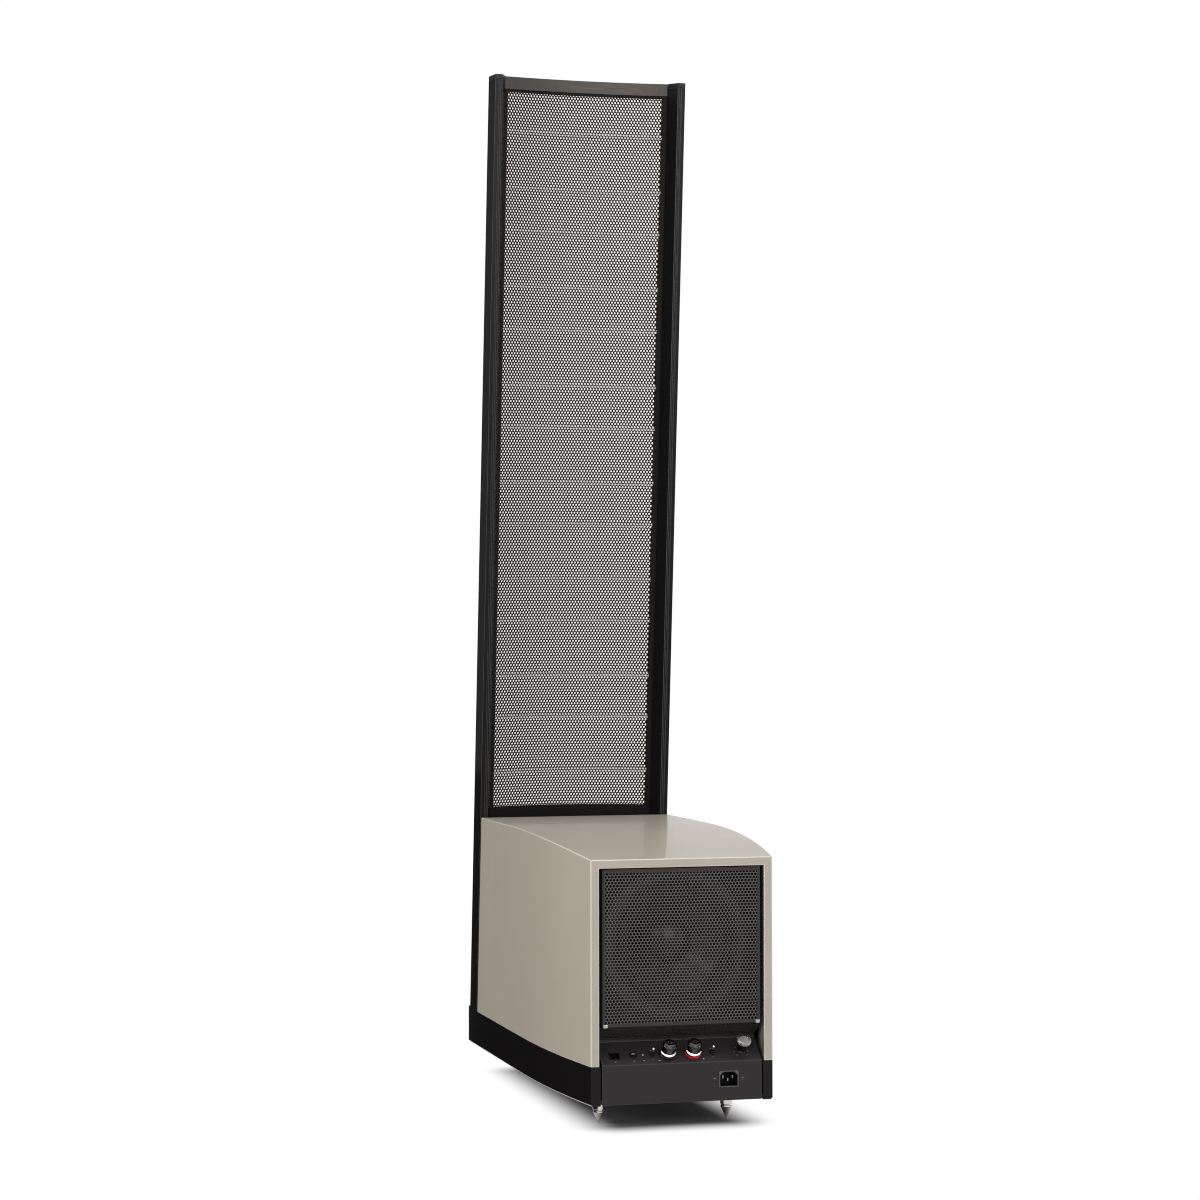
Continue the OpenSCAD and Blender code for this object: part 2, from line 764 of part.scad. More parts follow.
module front_basket() { raked() at_front_driver() basket(); }
module front_motor() { raked() at_front_driver() motor(); }
module front_coil() { raked() at_front_driver() coil(); }
module front_cone() { raked() at_front_driver() cone(); }
module front_dust_cap() { raked() at_front_driver() dust_cap(); }
module front_surround() { raked() at_front_driver() surround(); }
module front_spider() { raked() at_front_driver() spider(); }
module rear_basket() { at_rear_driver() basket(); }
module rear_motor() { at_rear_driver() motor(); }
module rear_coil() { at_rear_driver() coil(); }
module rear_cone() { at_rear_driver() cone(); }
module rear_dust_cap() { at_rear_driver() dust_cap(); }
module rear_surround() { at_rear_driver() surround(); }
module rear_spider() { at_rear_driver() spider(); }

// ---- control panel and what it carries ----

bush_r = 3;
pot_bush_r = 3.8;
base_stem_r = 5;
inlet_w = 28;
inlet_h = 22.5;
inlet_screw_pitch = 40;
inlet_flange_t = 2.5;
screw_r = 1.6;

module control_panel() {
    t = control_t;
    k = t * (1 - sin(slope)) / cos(slope);
    lip_y = baffle_y + seat_gap;
    lip_z = roof_z + floor_t - 1;
    color("#37353a") difference() {
        rotate([90, 0, 90]) translate([0, 0, -control_x]) linear_extrude(2 * control_x) polygon([
            [y_rear, spike_h + 1], [y_rear, bend_z], [slope_end_y, slope_end_z],
            [lip_y + t, slope_end_z], [lip_y + t, lip_z], [lip_y, lip_z],
            [lip_y, slope_end_z - t], [slope_end_y - t * sin(slope), slope_end_z - t * cos(slope)],
            [y_rear - t, bend_z + k * sin(slope) - t * cos(slope)], [y_rear - t, spike_h + 1]]);
        for (x = [-terminal_x, terminal_x]) on_slope(x) hole(base_stem_r + seat_gap);
        for (x = [toggle_a_x, toggle_b_x]) on_slope(x) hole(bush_r + seat_gap);
        on_slope(knob_x) hole(pot_bush_r + seat_gap);
        on_slope(jack_x) hole(4 + seat_gap);
        on_slope(light_x) hole(1.5 + seat_gap);
        on_slope(socket_x) translate([-socket_w / 2 - 1.5 - seat_gap, -socket_h / 2 - 1.5 - seat_gap, -6])
            cube([socket_w + 3 + 2 * seat_gap, socket_h + 3 + 2 * seat_gap, 10]);
        translate([inlet_x - inlet_w / 2 - seat_gap, y_rear - 6, inlet_z - inlet_h / 2 - seat_gap])
            cube([inlet_w + 2 * seat_gap, 10, inlet_h + 2 * seat_gap]);
        at_inlet_screws() hole(screw_r + seat_gap);
    }
}

module hole(r) {
    translate([0, 0, -6]) cylinder(r = r, h = 12, $fn = 48);
}

module terminal_bases() {
    color("#16161a") for (x = [-terminal_x, terminal_x]) on_slope(x) difference() {
        union() {
            cylinder(r = post_ring_r + 0.5, h = 3.5, $fn = 64);
            translate([0, 0, -control_t]) cylinder(r = base_stem_r, h = control_t, $fn = 48);
            translate([0, 0, -control_t - 3]) cylinder(r = post_ring_r - 1, h = 3, $fn = 64);
        }
        hole(stud_r + seat_gap);
    }
}

stud_top = 19;
shoulder_t = 1.2;
ring_t = 4.5;
ring_z = 3.5 + shoulder_t + move_gap;
cap_z = ring_z + ring_t + move_gap;

module terminal_studs() {
    color("#c8a24a") for (x = [-terminal_x, terminal_x]) on_slope(x) difference() {
        union() {
            translate([0, 0, -16]) cylinder(r = stud_r, h = 16 + stud_top, $fn = 64);
            translate([0, 0, 3.5]) cylinder(r = post_ring_r - 3, h = shoulder_t, $fn = 64);
            translate([0, 0, -control_t - 5.5]) cylinder(r = stud_r + 3, h = 2.5, $fn = 6);
        }
        translate([0, 0, stud_top - plug_depth]) cylinder(r = plug_r, h = plug_depth + 1, $fn = 48);
    }
}

module post_ring() {
    color("#dddddd") translate([0, 0, ring_z]) difference() {
        cylinder(r = post_ring_r, h = ring_t, $fn = 64);
        translate([0, 0, -1]) cylinder(r = stud_r + move_gap, h = ring_t + 2, $fn = 64);
    }
}

module post_cap() {
    mouth_r = plug_r + 0.6;
    bore_top = stud_top + move_gap;
    color("#202024") rotate_extrude($fn = 96) difference() {
        union() {
            translate([0, cap_z]) square([post_cap_r, post_h - post_edge_r - cap_z]);
            translate([0, cap_z]) square([post_cap_r - post_edge_r, post_h - cap_z]);
            translate([post_cap_r - post_edge_r, post_h - post_edge_r]) circle(r = post_edge_r, $fn = 64);
        }
        translate([-1, cap_z - 1]) square([stud_r + run_gap + 1, bore_top - cap_z + 1]);
        translate([-1, cap_z]) square([mouth_r + 1, post_h]);
        translate([-2 * post_cap_r, -1]) square([2 * post_cap_r, post_h + 2]);
    }
}

module black_ring() { on_slope(terminal_x) post_ring(); }
module black_cap() { on_slope(terminal_x) post_cap(); }
module red_ring() { on_slope(-terminal_x) post_ring(); }
module red_cap() { on_slope(-terminal_x) post_cap(); }

pot_shaft_foot = -6;

// The silver knob, its dark stem and the shaft that both turn on
module level_knob() {
    disc_t = 4;
    foot = 4.5 + move_gap;
    on_slope(knob_x) {
        color("#c9c7c3") translate([0, 0, knob_h - disc_t]) cylinder(r = knob_r, h = disc_t, $fn = 64);
        color("#18181a") difference() {
            translate([0, 0, foot]) cylinder(r = stem_r, h = knob_h - disc_t - foot, $fn = 48);
            translate([0, 0, foot - 1]) cylinder(r = shaft_r + seat_gap, h = knob_h - disc_t - foot - 3, $fn = 48);
        }
        color("#9a9a9a") translate([0, 0, pot_shaft_foot + 1])
            cylinder(r = shaft_r, h = knob_h - disc_t - pot_shaft_foot - 5 - seat_gap, $fn = 48);
    }
}

module level_pot() {
    color("#55585c") on_slope(knob_x) difference() {
        union() {
            translate([0, 0, -control_t - 9]) cylinder(r = 8.5, h = 9, $fn = 48);
            translate([0, 0, -control_t]) cylinder(r = pot_bush_r, h = control_t + 4.5, $fn = 48);
            cylinder(r = pot_bush_r + 2.2, h = 2, $fn = 6);
        }
        translate([0, 0, pot_shaft_foot]) cylinder(r = shaft_r + run_gap, h = 20, $fn = 48);
    }
}

lever_pivot = 1;
bush_bore_r = 2.4;

module toggle_bushes() {
    color("#b5b5b5") for (x = [toggle_a_x, toggle_b_x]) on_slope(x) difference() {
        union() {
            translate([0, 0, -control_t - 8]) translate([-4, -6.5, 0]) cube([8, 13, 8]);
            translate([0, 0, -control_t]) cylinder(r = bush_r, h = control_t + 4.5, $fn = 48);
            cylinder(r = bush_r + 1.6, h = 1.6, $fn = 6);
        }
        translate([0, 0, lever_pivot - 3]) cylinder(r = bush_bore_r, h = 12, $fn = 48);
    }
}

// Bat lever with its ball and cross pin
module toggle_lever() {
    neck_r = 0.9;
    ball_r = bush_bore_r - move_gap;
    color("#d5d5d5") translate([0, 0, lever_pivot]) {
        sphere(r = ball_r, $fn = 48);
        rotate([0, 90, 0]) cylinder(r = 0.6, h = 2 * ball_r, center = true, $fn = 24);
        cylinder(r1 = neck_r, r2 = lever_r, h = lever_l - lever_r, $fn = 32);
        translate([0, 0, lever_l - lever_r]) sphere(r = lever_r, $fn = 32);
    }
}

module toggle_lever_a() { on_slope(toggle_a_x) toggle_lever(); }
module toggle_lever_b() { on_slope(toggle_b_x) toggle_lever(); }

module data_socket() {
    w = socket_w + 3;
    h = socket_h + 3;
    color("#101012") on_slope(socket_x) difference() {
        translate([-w / 2, -h / 2, -control_t - 13]) cube([w, h, 13 + control_t + 0.4]);
        translate([-socket_w / 2, -socket_h / 2, -control_t - 11]) cube([socket_w, socket_h, 20]);
    }
}

module jack_and_light() {
    color("#141416") {
        on_slope(jack_x) difference() {
            union() {
                translate([0, 0, -control_t - 10]) cylinder(r = 4, h = 10 + control_t, $fn = 48);
                cylinder(r = jack_collar_r, h = 1.4, $fn = 48);
            }
            translate([0, 0, -9]) cylinder(r = jack_r, h = 20, $fn = 48);
        }
        on_slope(light_x) {
            translate([0, 0, -control_t - 4]) cylinder(r = 1.5, h = 4 + control_t, $fn = 32);
            cylinder(r = 2, h = 0.8, $fn = 32);
        }
    }
}

module at_inlet_screws() {
    for (side = [-1, 1]) translate([inlet_x + side * inlet_screw_pitch / 2, y_rear, inlet_z])
        rotate([-90, 0, 0]) children();
}

// Housing of the mains inlet: a rim in the panel, a flange behind it and the recess for the lead
module mains_inlet() {
    rim = 2;
    depth = 22;
    cut = 5;
    mouth_w = inlet_w - 2 * rim;
    mouth_h = inlet_h - 2 * rim;
    color("#121214") translate([inlet_x, y_rear, inlet_z]) rotate([-90, 0, 0]) difference() {
        union() {
            translate([-inlet_w / 2, -inlet_h / 2, -depth]) cube([inlet_w, inlet_h, depth + 0.8]);
            translate([-25, -inlet_h / 2, -control_t - seat_gap - inlet_flange_t])
                cube([50, inlet_h, inlet_flange_t]);
        }
        translate([0, 0, -depth + 3]) linear_extrude(depth) polygon([
            [-mouth_w / 2, -mouth_h / 2 + cut], [-mouth_w / 2 + cut, -mouth_h / 2],
            [mouth_w / 2 - cut, -mouth_h / 2], [mouth_w / 2, -mouth_h / 2 + cut],
            [mouth_w / 2, mouth_h / 2], [-mouth_w / 2, mouth_h / 2]]);
        for (side = [-1, 1]) translate([side * inlet_screw_pitch / 2, 0, -10])
            cylinder(r = screw_r, h = 12, $fn = 32);
    }
}

module inlet_pins() {
    pin_w = 2;
    pin_h = 4;
    pin_pitch = 7;
    color("#cfc7a8") translate([inlet_x, y_rear, inlet_z]) rotate([-90, 0, 0])
        for (p = [[-pin_pitch, 2], [0, -2], [pin_pitch, 2]])
            translate([p[0] - pin_w / 2, p[1] - pin_h / 2, -19]) cube([pin_w, pin_h, 14]);
}

module inlet_screws() {
    color("#3a3a3c") at_inlet_screws() {
        translate([0, 0, -8]) cylinder(r = screw_r - seat_gap / 2, h = 8, $fn = 32);
        cylinder(r1 = 2.9, r2 = 1.9, h = 1.6, $fn = 32);
    }
}

// ---- electronics on the base plate ----

toroid_r = 46;
core_size = [66, 55, 28];
coil_size = [43, 27, 26];
transformer_back = 89;
board_size = [2 * (spike_x - insert_r - 7), 78, 1.6];
board_back = 16;
sink_size = [110, 6, 34];
sink_front = 8;
fin_size = [2, 16, 34];
fin_pitch = 9.5;
can_r = 11;
can_h = 22;
can_pitch = 32;
choke_size = [26, 22, 18];

module power_transformer() {
    ring_r = toroid_r;
    hole_r = 17;
    ring_h = 38;
    color("#3f4c3c") translate([0, riser_y - toroid_r - 30, base_top_z]) {
        difference() {
            cylinder(r = ring_r, h = ring_h, $fn = 72);
            translate([0, 0, -1]) cylinder(r = hole_r, h = ring_h + 2, $fn = 72);
        }
        translate([0, 0, ring_h]) cylinder(r = ring_r - 6, h = 2, $fn = 72);
        cylinder(r = 4, h = ring_h + 4, $fn = 36);
    }
}

module audio_transformer() {
    core = core_size;
    color("#5a4a3c") translate([0, y_front + spike_front + transformer_back, base_top_z]) {
        difference() {
            translate([-core[0] / 2, -core[1] / 2, 0]) cube(core);
            for (side = [-1, 1]) translate([side * 16 - 6, -14, -1]) cube([12, 28, core[2] + 2]);
        }
        translate([-coil_size[0] / 2, -coil_size[1] / 2, 4]) cube(coil_size);
    }
}

module amplifier_board() {
    board = board_size;
    lift = 8;
    fin_n = 12;
    top = lift + board[2];
    color("#2f5a3c") translate([0, riser_y + board_back, base_top_z]) {
        translate([-board[0] / 2, 0, lift]) cube(board);
        for (sx = [-1, 1]) for (y = [6, board[1] - 6]) translate([sx * (board[0] / 2 - 6), y, 0])
            cylinder(r = 3, h = lift, $fn = 6);
        translate([15 - board[0] / 2, sink_front, top]) cube(sink_size);
        for (i = [0 : fin_n - 1])
            translate([15 - board[0] / 2 + i * fin_pitch, sink_front + sink_size[1], top]) cube(fin_size);
        for (i = [-1 : 1]) translate([i * can_pitch - can_pitch / 2, board[1] - 28, top])
            cylinder(r = can_r, h = can_h, $fn = 36);
        translate([board[0] / 2 - choke_size[0] - 1, board[1] - choke_size[1] - 16, top]) cube(choke_size);
    }
}

left_rail();
right_rail();
rail_caps();
top_crossbar();
bottom_crossbar();
front_stator();
rear_stator();
diaphragm();
edge_insulators();
spars();
cabinet_shell();
front_baffle();
rear_baffle();
chamber_divider();
cabinet_floor();
amp_bay_cover();
front_grille();
rear_grille();
grille_clips();
plinth_skirt();
base_plate();
spike_inserts();
spike_front_left();
spike_front_right();
spike_rear_left();
spike_rear_right();
front_basket();
front_motor();
front_coil();
front_cone();
front_dust_cap();
front_surround();
front_spider();
rear_basket();
rear_motor();
rear_coil();
rear_cone();
rear_dust_cap();
rear_surround();
rear_spider();
control_panel();
terminal_bases();
terminal_studs();
black_ring();
black_cap();
red_ring();
red_cap();
level_knob();
level_pot();
toggle_bushes();
toggle_lever_a();
toggle_lever_b();
data_socket();
jack_and_light();
mains_inlet();
inlet_pins();
inlet_screws();
power_transformer();
audio_transformer();
amplifier_board();
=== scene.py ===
"""Looks of the floorstanding speaker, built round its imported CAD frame, with a camera and a studio.

Lengths are in metres in the row frame: X across, -Y to the front, +Z up, the origin on the floor. Every piece
is modelled where it stands at rest, so each object stays at the origin.
"""

from __future__ import annotations

import json
import logging
import math
from dataclasses import dataclass
from enum import Enum
from typing import Iterable, Sequence

import bmesh
import bpy
import numpy as np
from mathutils import Matrix, Vector

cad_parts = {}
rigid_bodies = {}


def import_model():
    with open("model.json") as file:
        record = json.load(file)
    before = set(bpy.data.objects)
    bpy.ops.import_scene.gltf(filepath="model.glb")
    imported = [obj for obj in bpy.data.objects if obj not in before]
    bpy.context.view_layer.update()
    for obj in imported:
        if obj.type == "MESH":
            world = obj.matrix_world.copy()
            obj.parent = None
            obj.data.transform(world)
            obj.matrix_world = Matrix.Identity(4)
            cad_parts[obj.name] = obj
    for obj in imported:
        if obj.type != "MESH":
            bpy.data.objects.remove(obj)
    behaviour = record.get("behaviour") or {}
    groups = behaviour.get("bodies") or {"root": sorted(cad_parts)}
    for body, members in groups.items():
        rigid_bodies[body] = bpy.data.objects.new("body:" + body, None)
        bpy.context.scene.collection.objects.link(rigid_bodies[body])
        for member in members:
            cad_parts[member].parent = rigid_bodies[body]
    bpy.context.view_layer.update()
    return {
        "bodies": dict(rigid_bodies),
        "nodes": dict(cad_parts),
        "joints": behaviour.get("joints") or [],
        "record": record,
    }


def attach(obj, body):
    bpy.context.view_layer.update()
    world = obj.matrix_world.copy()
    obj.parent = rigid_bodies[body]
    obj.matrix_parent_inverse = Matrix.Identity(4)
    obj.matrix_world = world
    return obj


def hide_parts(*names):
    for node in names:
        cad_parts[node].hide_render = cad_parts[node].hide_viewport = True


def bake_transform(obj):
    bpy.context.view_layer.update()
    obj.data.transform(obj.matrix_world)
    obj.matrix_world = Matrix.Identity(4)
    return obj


log = logging.getLogger("speaker")

MM = 0.001
ROOT_BODY = "speaker"
PITCH = 4.7625 * MM
Point = tuple[float, float, float]
Colour = tuple[float, float, float]
Flat = tuple[float, float]
Outline = tuple[Flat, ...]


class Surface(Enum):
    """Kinds of procedural surface that the material builder knows."""

    SATIN = "satin"
    GLOSS = "gloss"
    BRUSHED = "brushed"
    METAL = "metal"
    CLEAR = "clear"
    FILM = "film"
    CLOTH = "cloth"
    # Emission: the status light's own glow, and a painted glow on the spars.
    GLOW = "glow"


class Turn(Enum):
    """Sides of the speaker, as the sign of X."""

    LEFT = -1
    RIGHT = 1


@dataclass(frozen=True)
class Finish:
    """What a surface looks like.

    Attributes:
        name: Name of the material.
        surface: Kind of surface.
        colour: Linear base colour.
        roughness: Mean roughness.
        grain: Size of the fine unevenness, in cycles per metre.
        depth: Strength of the fine unevenness, from 0 to 1.
        specular: Strength of the mirror-like part, or of the clear coat on a gloss surface.
    """

    name: str
    surface: Surface
    colour: Colour
    roughness: float = 0.4
    grain: float = 900.0
    depth: float = 0.15
    specular: float = 0.35


LACQUER = Finish("lacquer", Surface.GLOSS, (0.436, 0.394, 0.327), 0.35, 260.0, 0.03, 0.29)
# Lighter copy of the lacquer for the shell's rounded edges: a painted highlight, as if the edges caught the
# light.
LACQUER_PAINTED_HIGHLIGHT = Finish("lacquer_edge", Surface.GLOSS, (0.62, 0.585, 0.53), 0.35, 260.0, 0.03, 0.6)
RAIL_BLACK = Finish("rail_black", Surface.SATIN, (0.0055, 0.0055, 0.0057), 0.32, 2400.0, 0.15, 0.10)
# Lighter copy of the rails' black for their rounded edges: a painted highlight.
RAIL_PAINTED_HIGHLIGHT = Finish("rail_edge", Surface.SATIN, (0.060, 0.057, 0.055), 0.3, 2400.0, 0.15, 0.25)
CAP_BLACK = Finish("cap_black", Surface.SATIN, (0.008, 0.008, 0.008), 0.42, 2400.0, 0.2, 0.2)
BAR_GREY = Finish("bar_grey", Surface.BRUSHED, (0.046, 0.041, 0.037), 0.42, 500.0, 0.3)
BAR_BLACK = Finish("bar_black", Surface.SATIN, (0.005, 0.005, 0.005), 0.5, 2400.0, 0.2, 0.1)
SHEET_DARK = Finish("sheet_dark", Surface.SATIN, (0.018, 0.013, 0.009), 0.5, 1500.0, 0.1, 0.06)
# Plain border of the panel's sheets, blacker than their perforated part: partly the border's own black,
# partly painted shadow under the crossbars.
BORDER_BLACK_AND_PAINTED_SHADE = Finish("border_black", Surface.SATIN, (0.007, 0.0055, 0.005), 0.5, 1500.0, 0.1, 0.08)
GRILLE_DARK = Finish("grille_dark", Surface.SATIN, (0.108, 0.094, 0.094), 0.38, 1500.0, 0.15, 0.3)
# Darker copy of the rear grille's metal for its fold and plain edges: painted shade.
GRILLE_PAINTED_SHADE = Finish("fold_dark", Surface.SATIN, (0.042, 0.035, 0.035), 0.38, 1500.0, 0.15, 0.12)
FILM_CLEAR = Finish("film_clear", Surface.FILM, (0.98, 0.98, 0.975), 0.05)
SPACER_BLACK = Finish("spacer_black", Surface.SATIN, (0.006, 0.005, 0.005), 0.6, 900.0, 0.15, 0.1)
# Spars that emit light, so that they show pale through the holes: a painted glow, as if lit from behind.
SPAR_PAINTED_GLOW = Finish("spar_pale", Surface.GLOW, (0.80, 0.81, 0.82), 0.5, 700.0, 0.1)
BOARD_BLACK = Finish("board_black", Surface.CLOTH, (0.003, 0.0025, 0.0025), 0.8, 300.0, 0.4)
BOARD_RAW = Finish("board_raw", Surface.CLOTH, (0.30, 0.20, 0.12), 0.8, 420.0, 0.5)
PLINTH_BLACK = Finish("plinth_black", Surface.SATIN, (0.006, 0.005, 0.0055), 0.34, 1700.0, 0.15, 0.14)
# Light grey on the plinth's chamfered foot: a painted highlight along its lower edge.
PLINTH_PAINTED_HIGHLIGHT = Finish("plinth_edge", Surface.SATIN, (0.30, 0.29, 0.28), 0.34, 1700.0, 0.15, 0.3)
PLATE_DARK = Finish("plate_dark", Surface.SATIN, (0.012, 0.012, 0.012), 0.5)
PANEL_CHARCOAL = Finish("panel_charcoal", Surface.SATIN, (0.019, 0.0155, 0.017), 0.42, 2600.0, 0.2, 0.20)
# Lighter copy of the panel's charcoal for its rounded edges: a painted highlight.
PANEL_PAINTED_HIGHLIGHT = Finish("panel_edge", Surface.SATIN, (0.050, 0.046, 0.046), 0.35, 2600.0, 0.2, 0.25)
STEEL_BRIGHT = Finish("steel_bright", Surface.METAL, (0.62, 0.59, 0.55), 0.10, 600.0, 0.1)
CHROME = Finish("chrome", Surface.METAL, (0.92, 0.92, 0.92), 0.05, 400.0, 0.03)
KNOB_SILVER = Finish("knob_silver", Surface.METAL, (0.42, 0.41, 0.39), 0.28, 900.0, 0.15)
KNOB_FACE = Finish("knob_face", Surface.METAL, (0.20, 0.195, 0.185), 0.16, 900.0, 0.1)
BRASS = Finish("brass", Surface.METAL, (0.80, 0.60, 0.30), 0.2, 600.0, 0.1)
COPPER = Finish("copper", Surface.METAL, (0.72, 0.33, 0.14), 0.35, 2500.0, 0.4)
STEEL_DARK = Finish("steel_dark", Surface.METAL, (0.20, 0.20, 0.21), 0.35, 700.0, 0.2)
CONE_DARK = Finish("cone_dark", Surface.BRUSHED, (0.018, 0.017, 0.018), 0.26, 500.0, 0.2)
RUBBER = Finish("rubber", Surface.SATIN, (0.006, 0.0055, 0.0055), 0.55, 1200.0, 0.2, 0.12)
SPIDER_CLOTH = Finish("spider_cloth", Surface.CLOTH, (0.42, 0.25, 0.09), 0.9, 1600.0, 0.8)
PLASTIC_BLACK = Finish("plastic_black", Surface.GLOSS, (0.006, 0.006, 0.0065), 0.2, 900.0, 0.04, 0.8)
PLASTIC_RED = Finish("plastic_red", Surface.GLOSS, (0.52, 0.008, 0.016), 0.2, 900.0, 0.04, 0.8)
CAP_CLEAR = Finish("cap_clear", Surface.CLEAR, (0.006, 0.006, 0.0063), 0.02)
MOULD_BLACK = Finish("mould_black", Surface.SATIN, (0.004, 0.0035, 0.004), 0.4, 1500.0, 0.2, 0.1)
# Lighter grey for the mains inlet's rim: a painted highlight on its edge.
INLET_RIM_PAINTED_HIGHLIGHT = Finish("rim_grey", Surface.SATIN, (0.085, 0.078, 0.078), 0.4, 1500.0, 0.15, 0.3)
SCREW_BLACK = Finish("screw_black", Surface.METAL, (0.05, 0.048, 0.048), 0.3, 900.0, 0.15)
LABEL_WHITE = Finish("label_white", Surface.SATIN, (0.62, 0.62, 0.60), 0.6)
LAMP_GREEN = Finish("lamp_green", Surface.GLOW, (0.35, 0.75, 0.45), 0.2)
BOARD_GREEN = Finish("board_green", Surface.SATIN, (0.02, 0.09, 0.035), 0.35, 900.0, 0.2)
WRAP_DARK = Finish("wrap_dark", Surface.CLOTH, (0.06, 0.07, 0.05), 0.6, 900.0, 0.4)


@dataclass(frozen=True)
class Sizes:
    """Sizes shared by the assemblies, in metres and degrees. They are the CAD part's own."""

    width: float = 0.302
    plinth_depth: float = 0.674
    height: float = 1.540
    rake: float = 5.4
    overhang: float = 0.0104476
    seam_z: float = 0.0925
    deck_z: float = 0.0955
    spike_z: float = 0.039
    shell_h: float = 0.3045
    shell_wall: float = 0.012
    straight: float = 0.367
    side_r: float = 2.240
    level: float = 0.292
    top_r: float = 3.150
    shell_u: float = 0.0517
    rail_w: float = 0.0205
    rail_d: float = 0.047
    setback: float = 0.0105
    cap_t: float = 0.007
    bar_h: float = 0.019
    bar_t: float = 0.012
    panel_h: float = 1.118
    arc_r: float = 0.541
    film_inset: float = 0.0128
    stack_half: float = 0.00415
    sheet_t: float = 0.0012
    edge_x: float = 0.1362
    grille_y_in: float = 0.002
    baffle_behind: float = 0.0345
    fold_z: float = 0.1455
    slope: float = 40.0
    slope_l: float = 0.042
    bend_z: float = 0.094
    control_s: float = 0.0165
    roof_z: float = 0.142
    front_driver_u: float = 0.026

    @property
    def half(self) -> float:
        """Half of the width."""
        return self.width / 2

    @property
    def y_front(self) -> float:
        """Y of the plinth's front face."""
        return -(self.plinth_depth + self.overhang) / 2

    @property
    def y_rear(self) -> float:
        """Y of the plinth's rear face."""
        return self.y_front + self.plinth_depth

    @property
    def foot_y(self) -> float:
        """Y of the rails' front at the deck."""
        return self.y_front + self.setback

    @property
    def inner_x(self) -> float:
        """X of the rails' inner face."""
        return self.half - self.rail_w

    @property
    def arc_u(self) -> float:
        """Distance of the panel's axis behind the rails' front."""
        return self.film_inset + math.sqrt(self.arc_r**2 - self.inner_x**2)

    @property
    def frame_l(self) -> float:
        """Length of the rails with their caps."""
        return (self.height - self.deck_z) / math.cos(math.radians(self.rake))

    @property
    def panel_top(self) -> float:
        """Distance of the panel's top from the deck, along the rails."""
        return self.frame_l - self.bar_h

    @property
    def panel_foot(self) -> float:
        """Distance of the panel's foot from the deck, along the rails."""
        return self.panel_top - self.panel_h

    @property
    def baffle_y(self) -> float:
        """Y of the rear baffle's rear face."""
        return self.y_rear - self.grille_y_in - self.baffle_behind

    def half_at(self, y: float, inset: float = 0.0) -> float:
        """Gives the half-width of the cabinet.

        Args:
            y: Place along the depth.
            inset: How far inside the outer face.

        Returns:
            The half-width there.
        """
        d = max(0.0, y - (self.y_front + self.straight))
        r = self.side_r - inset
        return self.half - self.side_r + math.sqrt(r * r - d * d)

    def top_at(self, y: float, inset: float = 0.0) -> float:
        """Gives the height of the cabinet's top.

        Args:
            y: Place along the depth.
            inset: How far below the outer face.

        Returns:
            The height there.
        """
        d = max(0.0, y - (self.y_front + self.level))
        r = self.top_r - inset
        return self.seam_z + self.shell_h - self.top_r + math.sqrt(r * r - d * d)

    def raked(self) -> Matrix:
        """Gives the matrix that takes the panel frame's own axes (x, u back, w up) to the row frame."""
        lean = Matrix.Rotation(-math.radians(self.rake), 4, "X")
        return Matrix.Translation((0, self.foot_y, self.deck_z)) @ lean

    def shell_front(self, z: float) -> float:
        """Gives the Y of the shell's raked front edge.

        Args:
            z: Height above the floor.

        Returns:
            The Y there.
        """
        a = math.radians(self.rake)
        return self.foot_y + (self.shell_u + (z - self.deck_z) * math.sin(a)) / math.cos(a)

    def front_driver(self) -> Matrix:
        """Gives the place of the front driver's mounting face, Z pointing out of the cabinet."""
        inner_top = self.seam_z + self.shell_h - self.shell_wall
        w = (inner_top - self.deck_z) / (2 * math.cos(math.radians(self.rake)))
        upright = Matrix.Rotation(math.radians(90), 4, "X")
        return self.raked() @ Matrix.Translation((0, self.front_driver_u, w)) @ upright

    def rear_driver(self) -> Matrix:
        """Gives the place of the rear driver's mounting face, Z pointing out of the cabinet."""
        middle = (self.roof_z + self.top_at(self.baffle_y, self.shell_wall)) / 2
        upright = Matrix.Rotation(math.radians(90), 4, "X")
        return Matrix.Translation((0, self.baffle_y, middle)) @ upright.inverted()

    def on_slope(self, x: float, along: float | None = None) -> Matrix:
        """Gives the matrix of a place on the sloping control face, Z square to that face.

        Args:
            x: Place across the panel.
            along: Distance from the bend, or None for the controls' own.

        Returns:
            The matrix in the row frame.
        """
        s = self.control_s if along is None else along
        a = math.radians(self.slope)
        place = (x, self.y_rear - s * math.cos(a), self.bend_z + s * math.sin(a))
        return Matrix.Translation(place) @ Matrix.Rotation(-a, 4, "X")

    def on_rear(self, x: float, z: float) -> Matrix:
        """Gives the matrix of a place on the upright control face, Z pointing out of it.

        Args:
            x: Place across the panel.
            z: Height above the floor.

        Returns:
            The matrix in the row frame, with X reversed so that Y points up.
        """
        axes = Matrix(((-1, 0, 0, 0), (0, 0, 1, 0), (0, 1, 0, 0), (0, 0, 0, 1)))
        return Matrix.Translation((x, self.y_rear, z)) @ axes


def put(node: bpy.types.Node, values: dict[str, object]) -> None:
    """Sets inputs of a node by their names."""
    for label, value in values.items():
        node.inputs[label].default_value = value


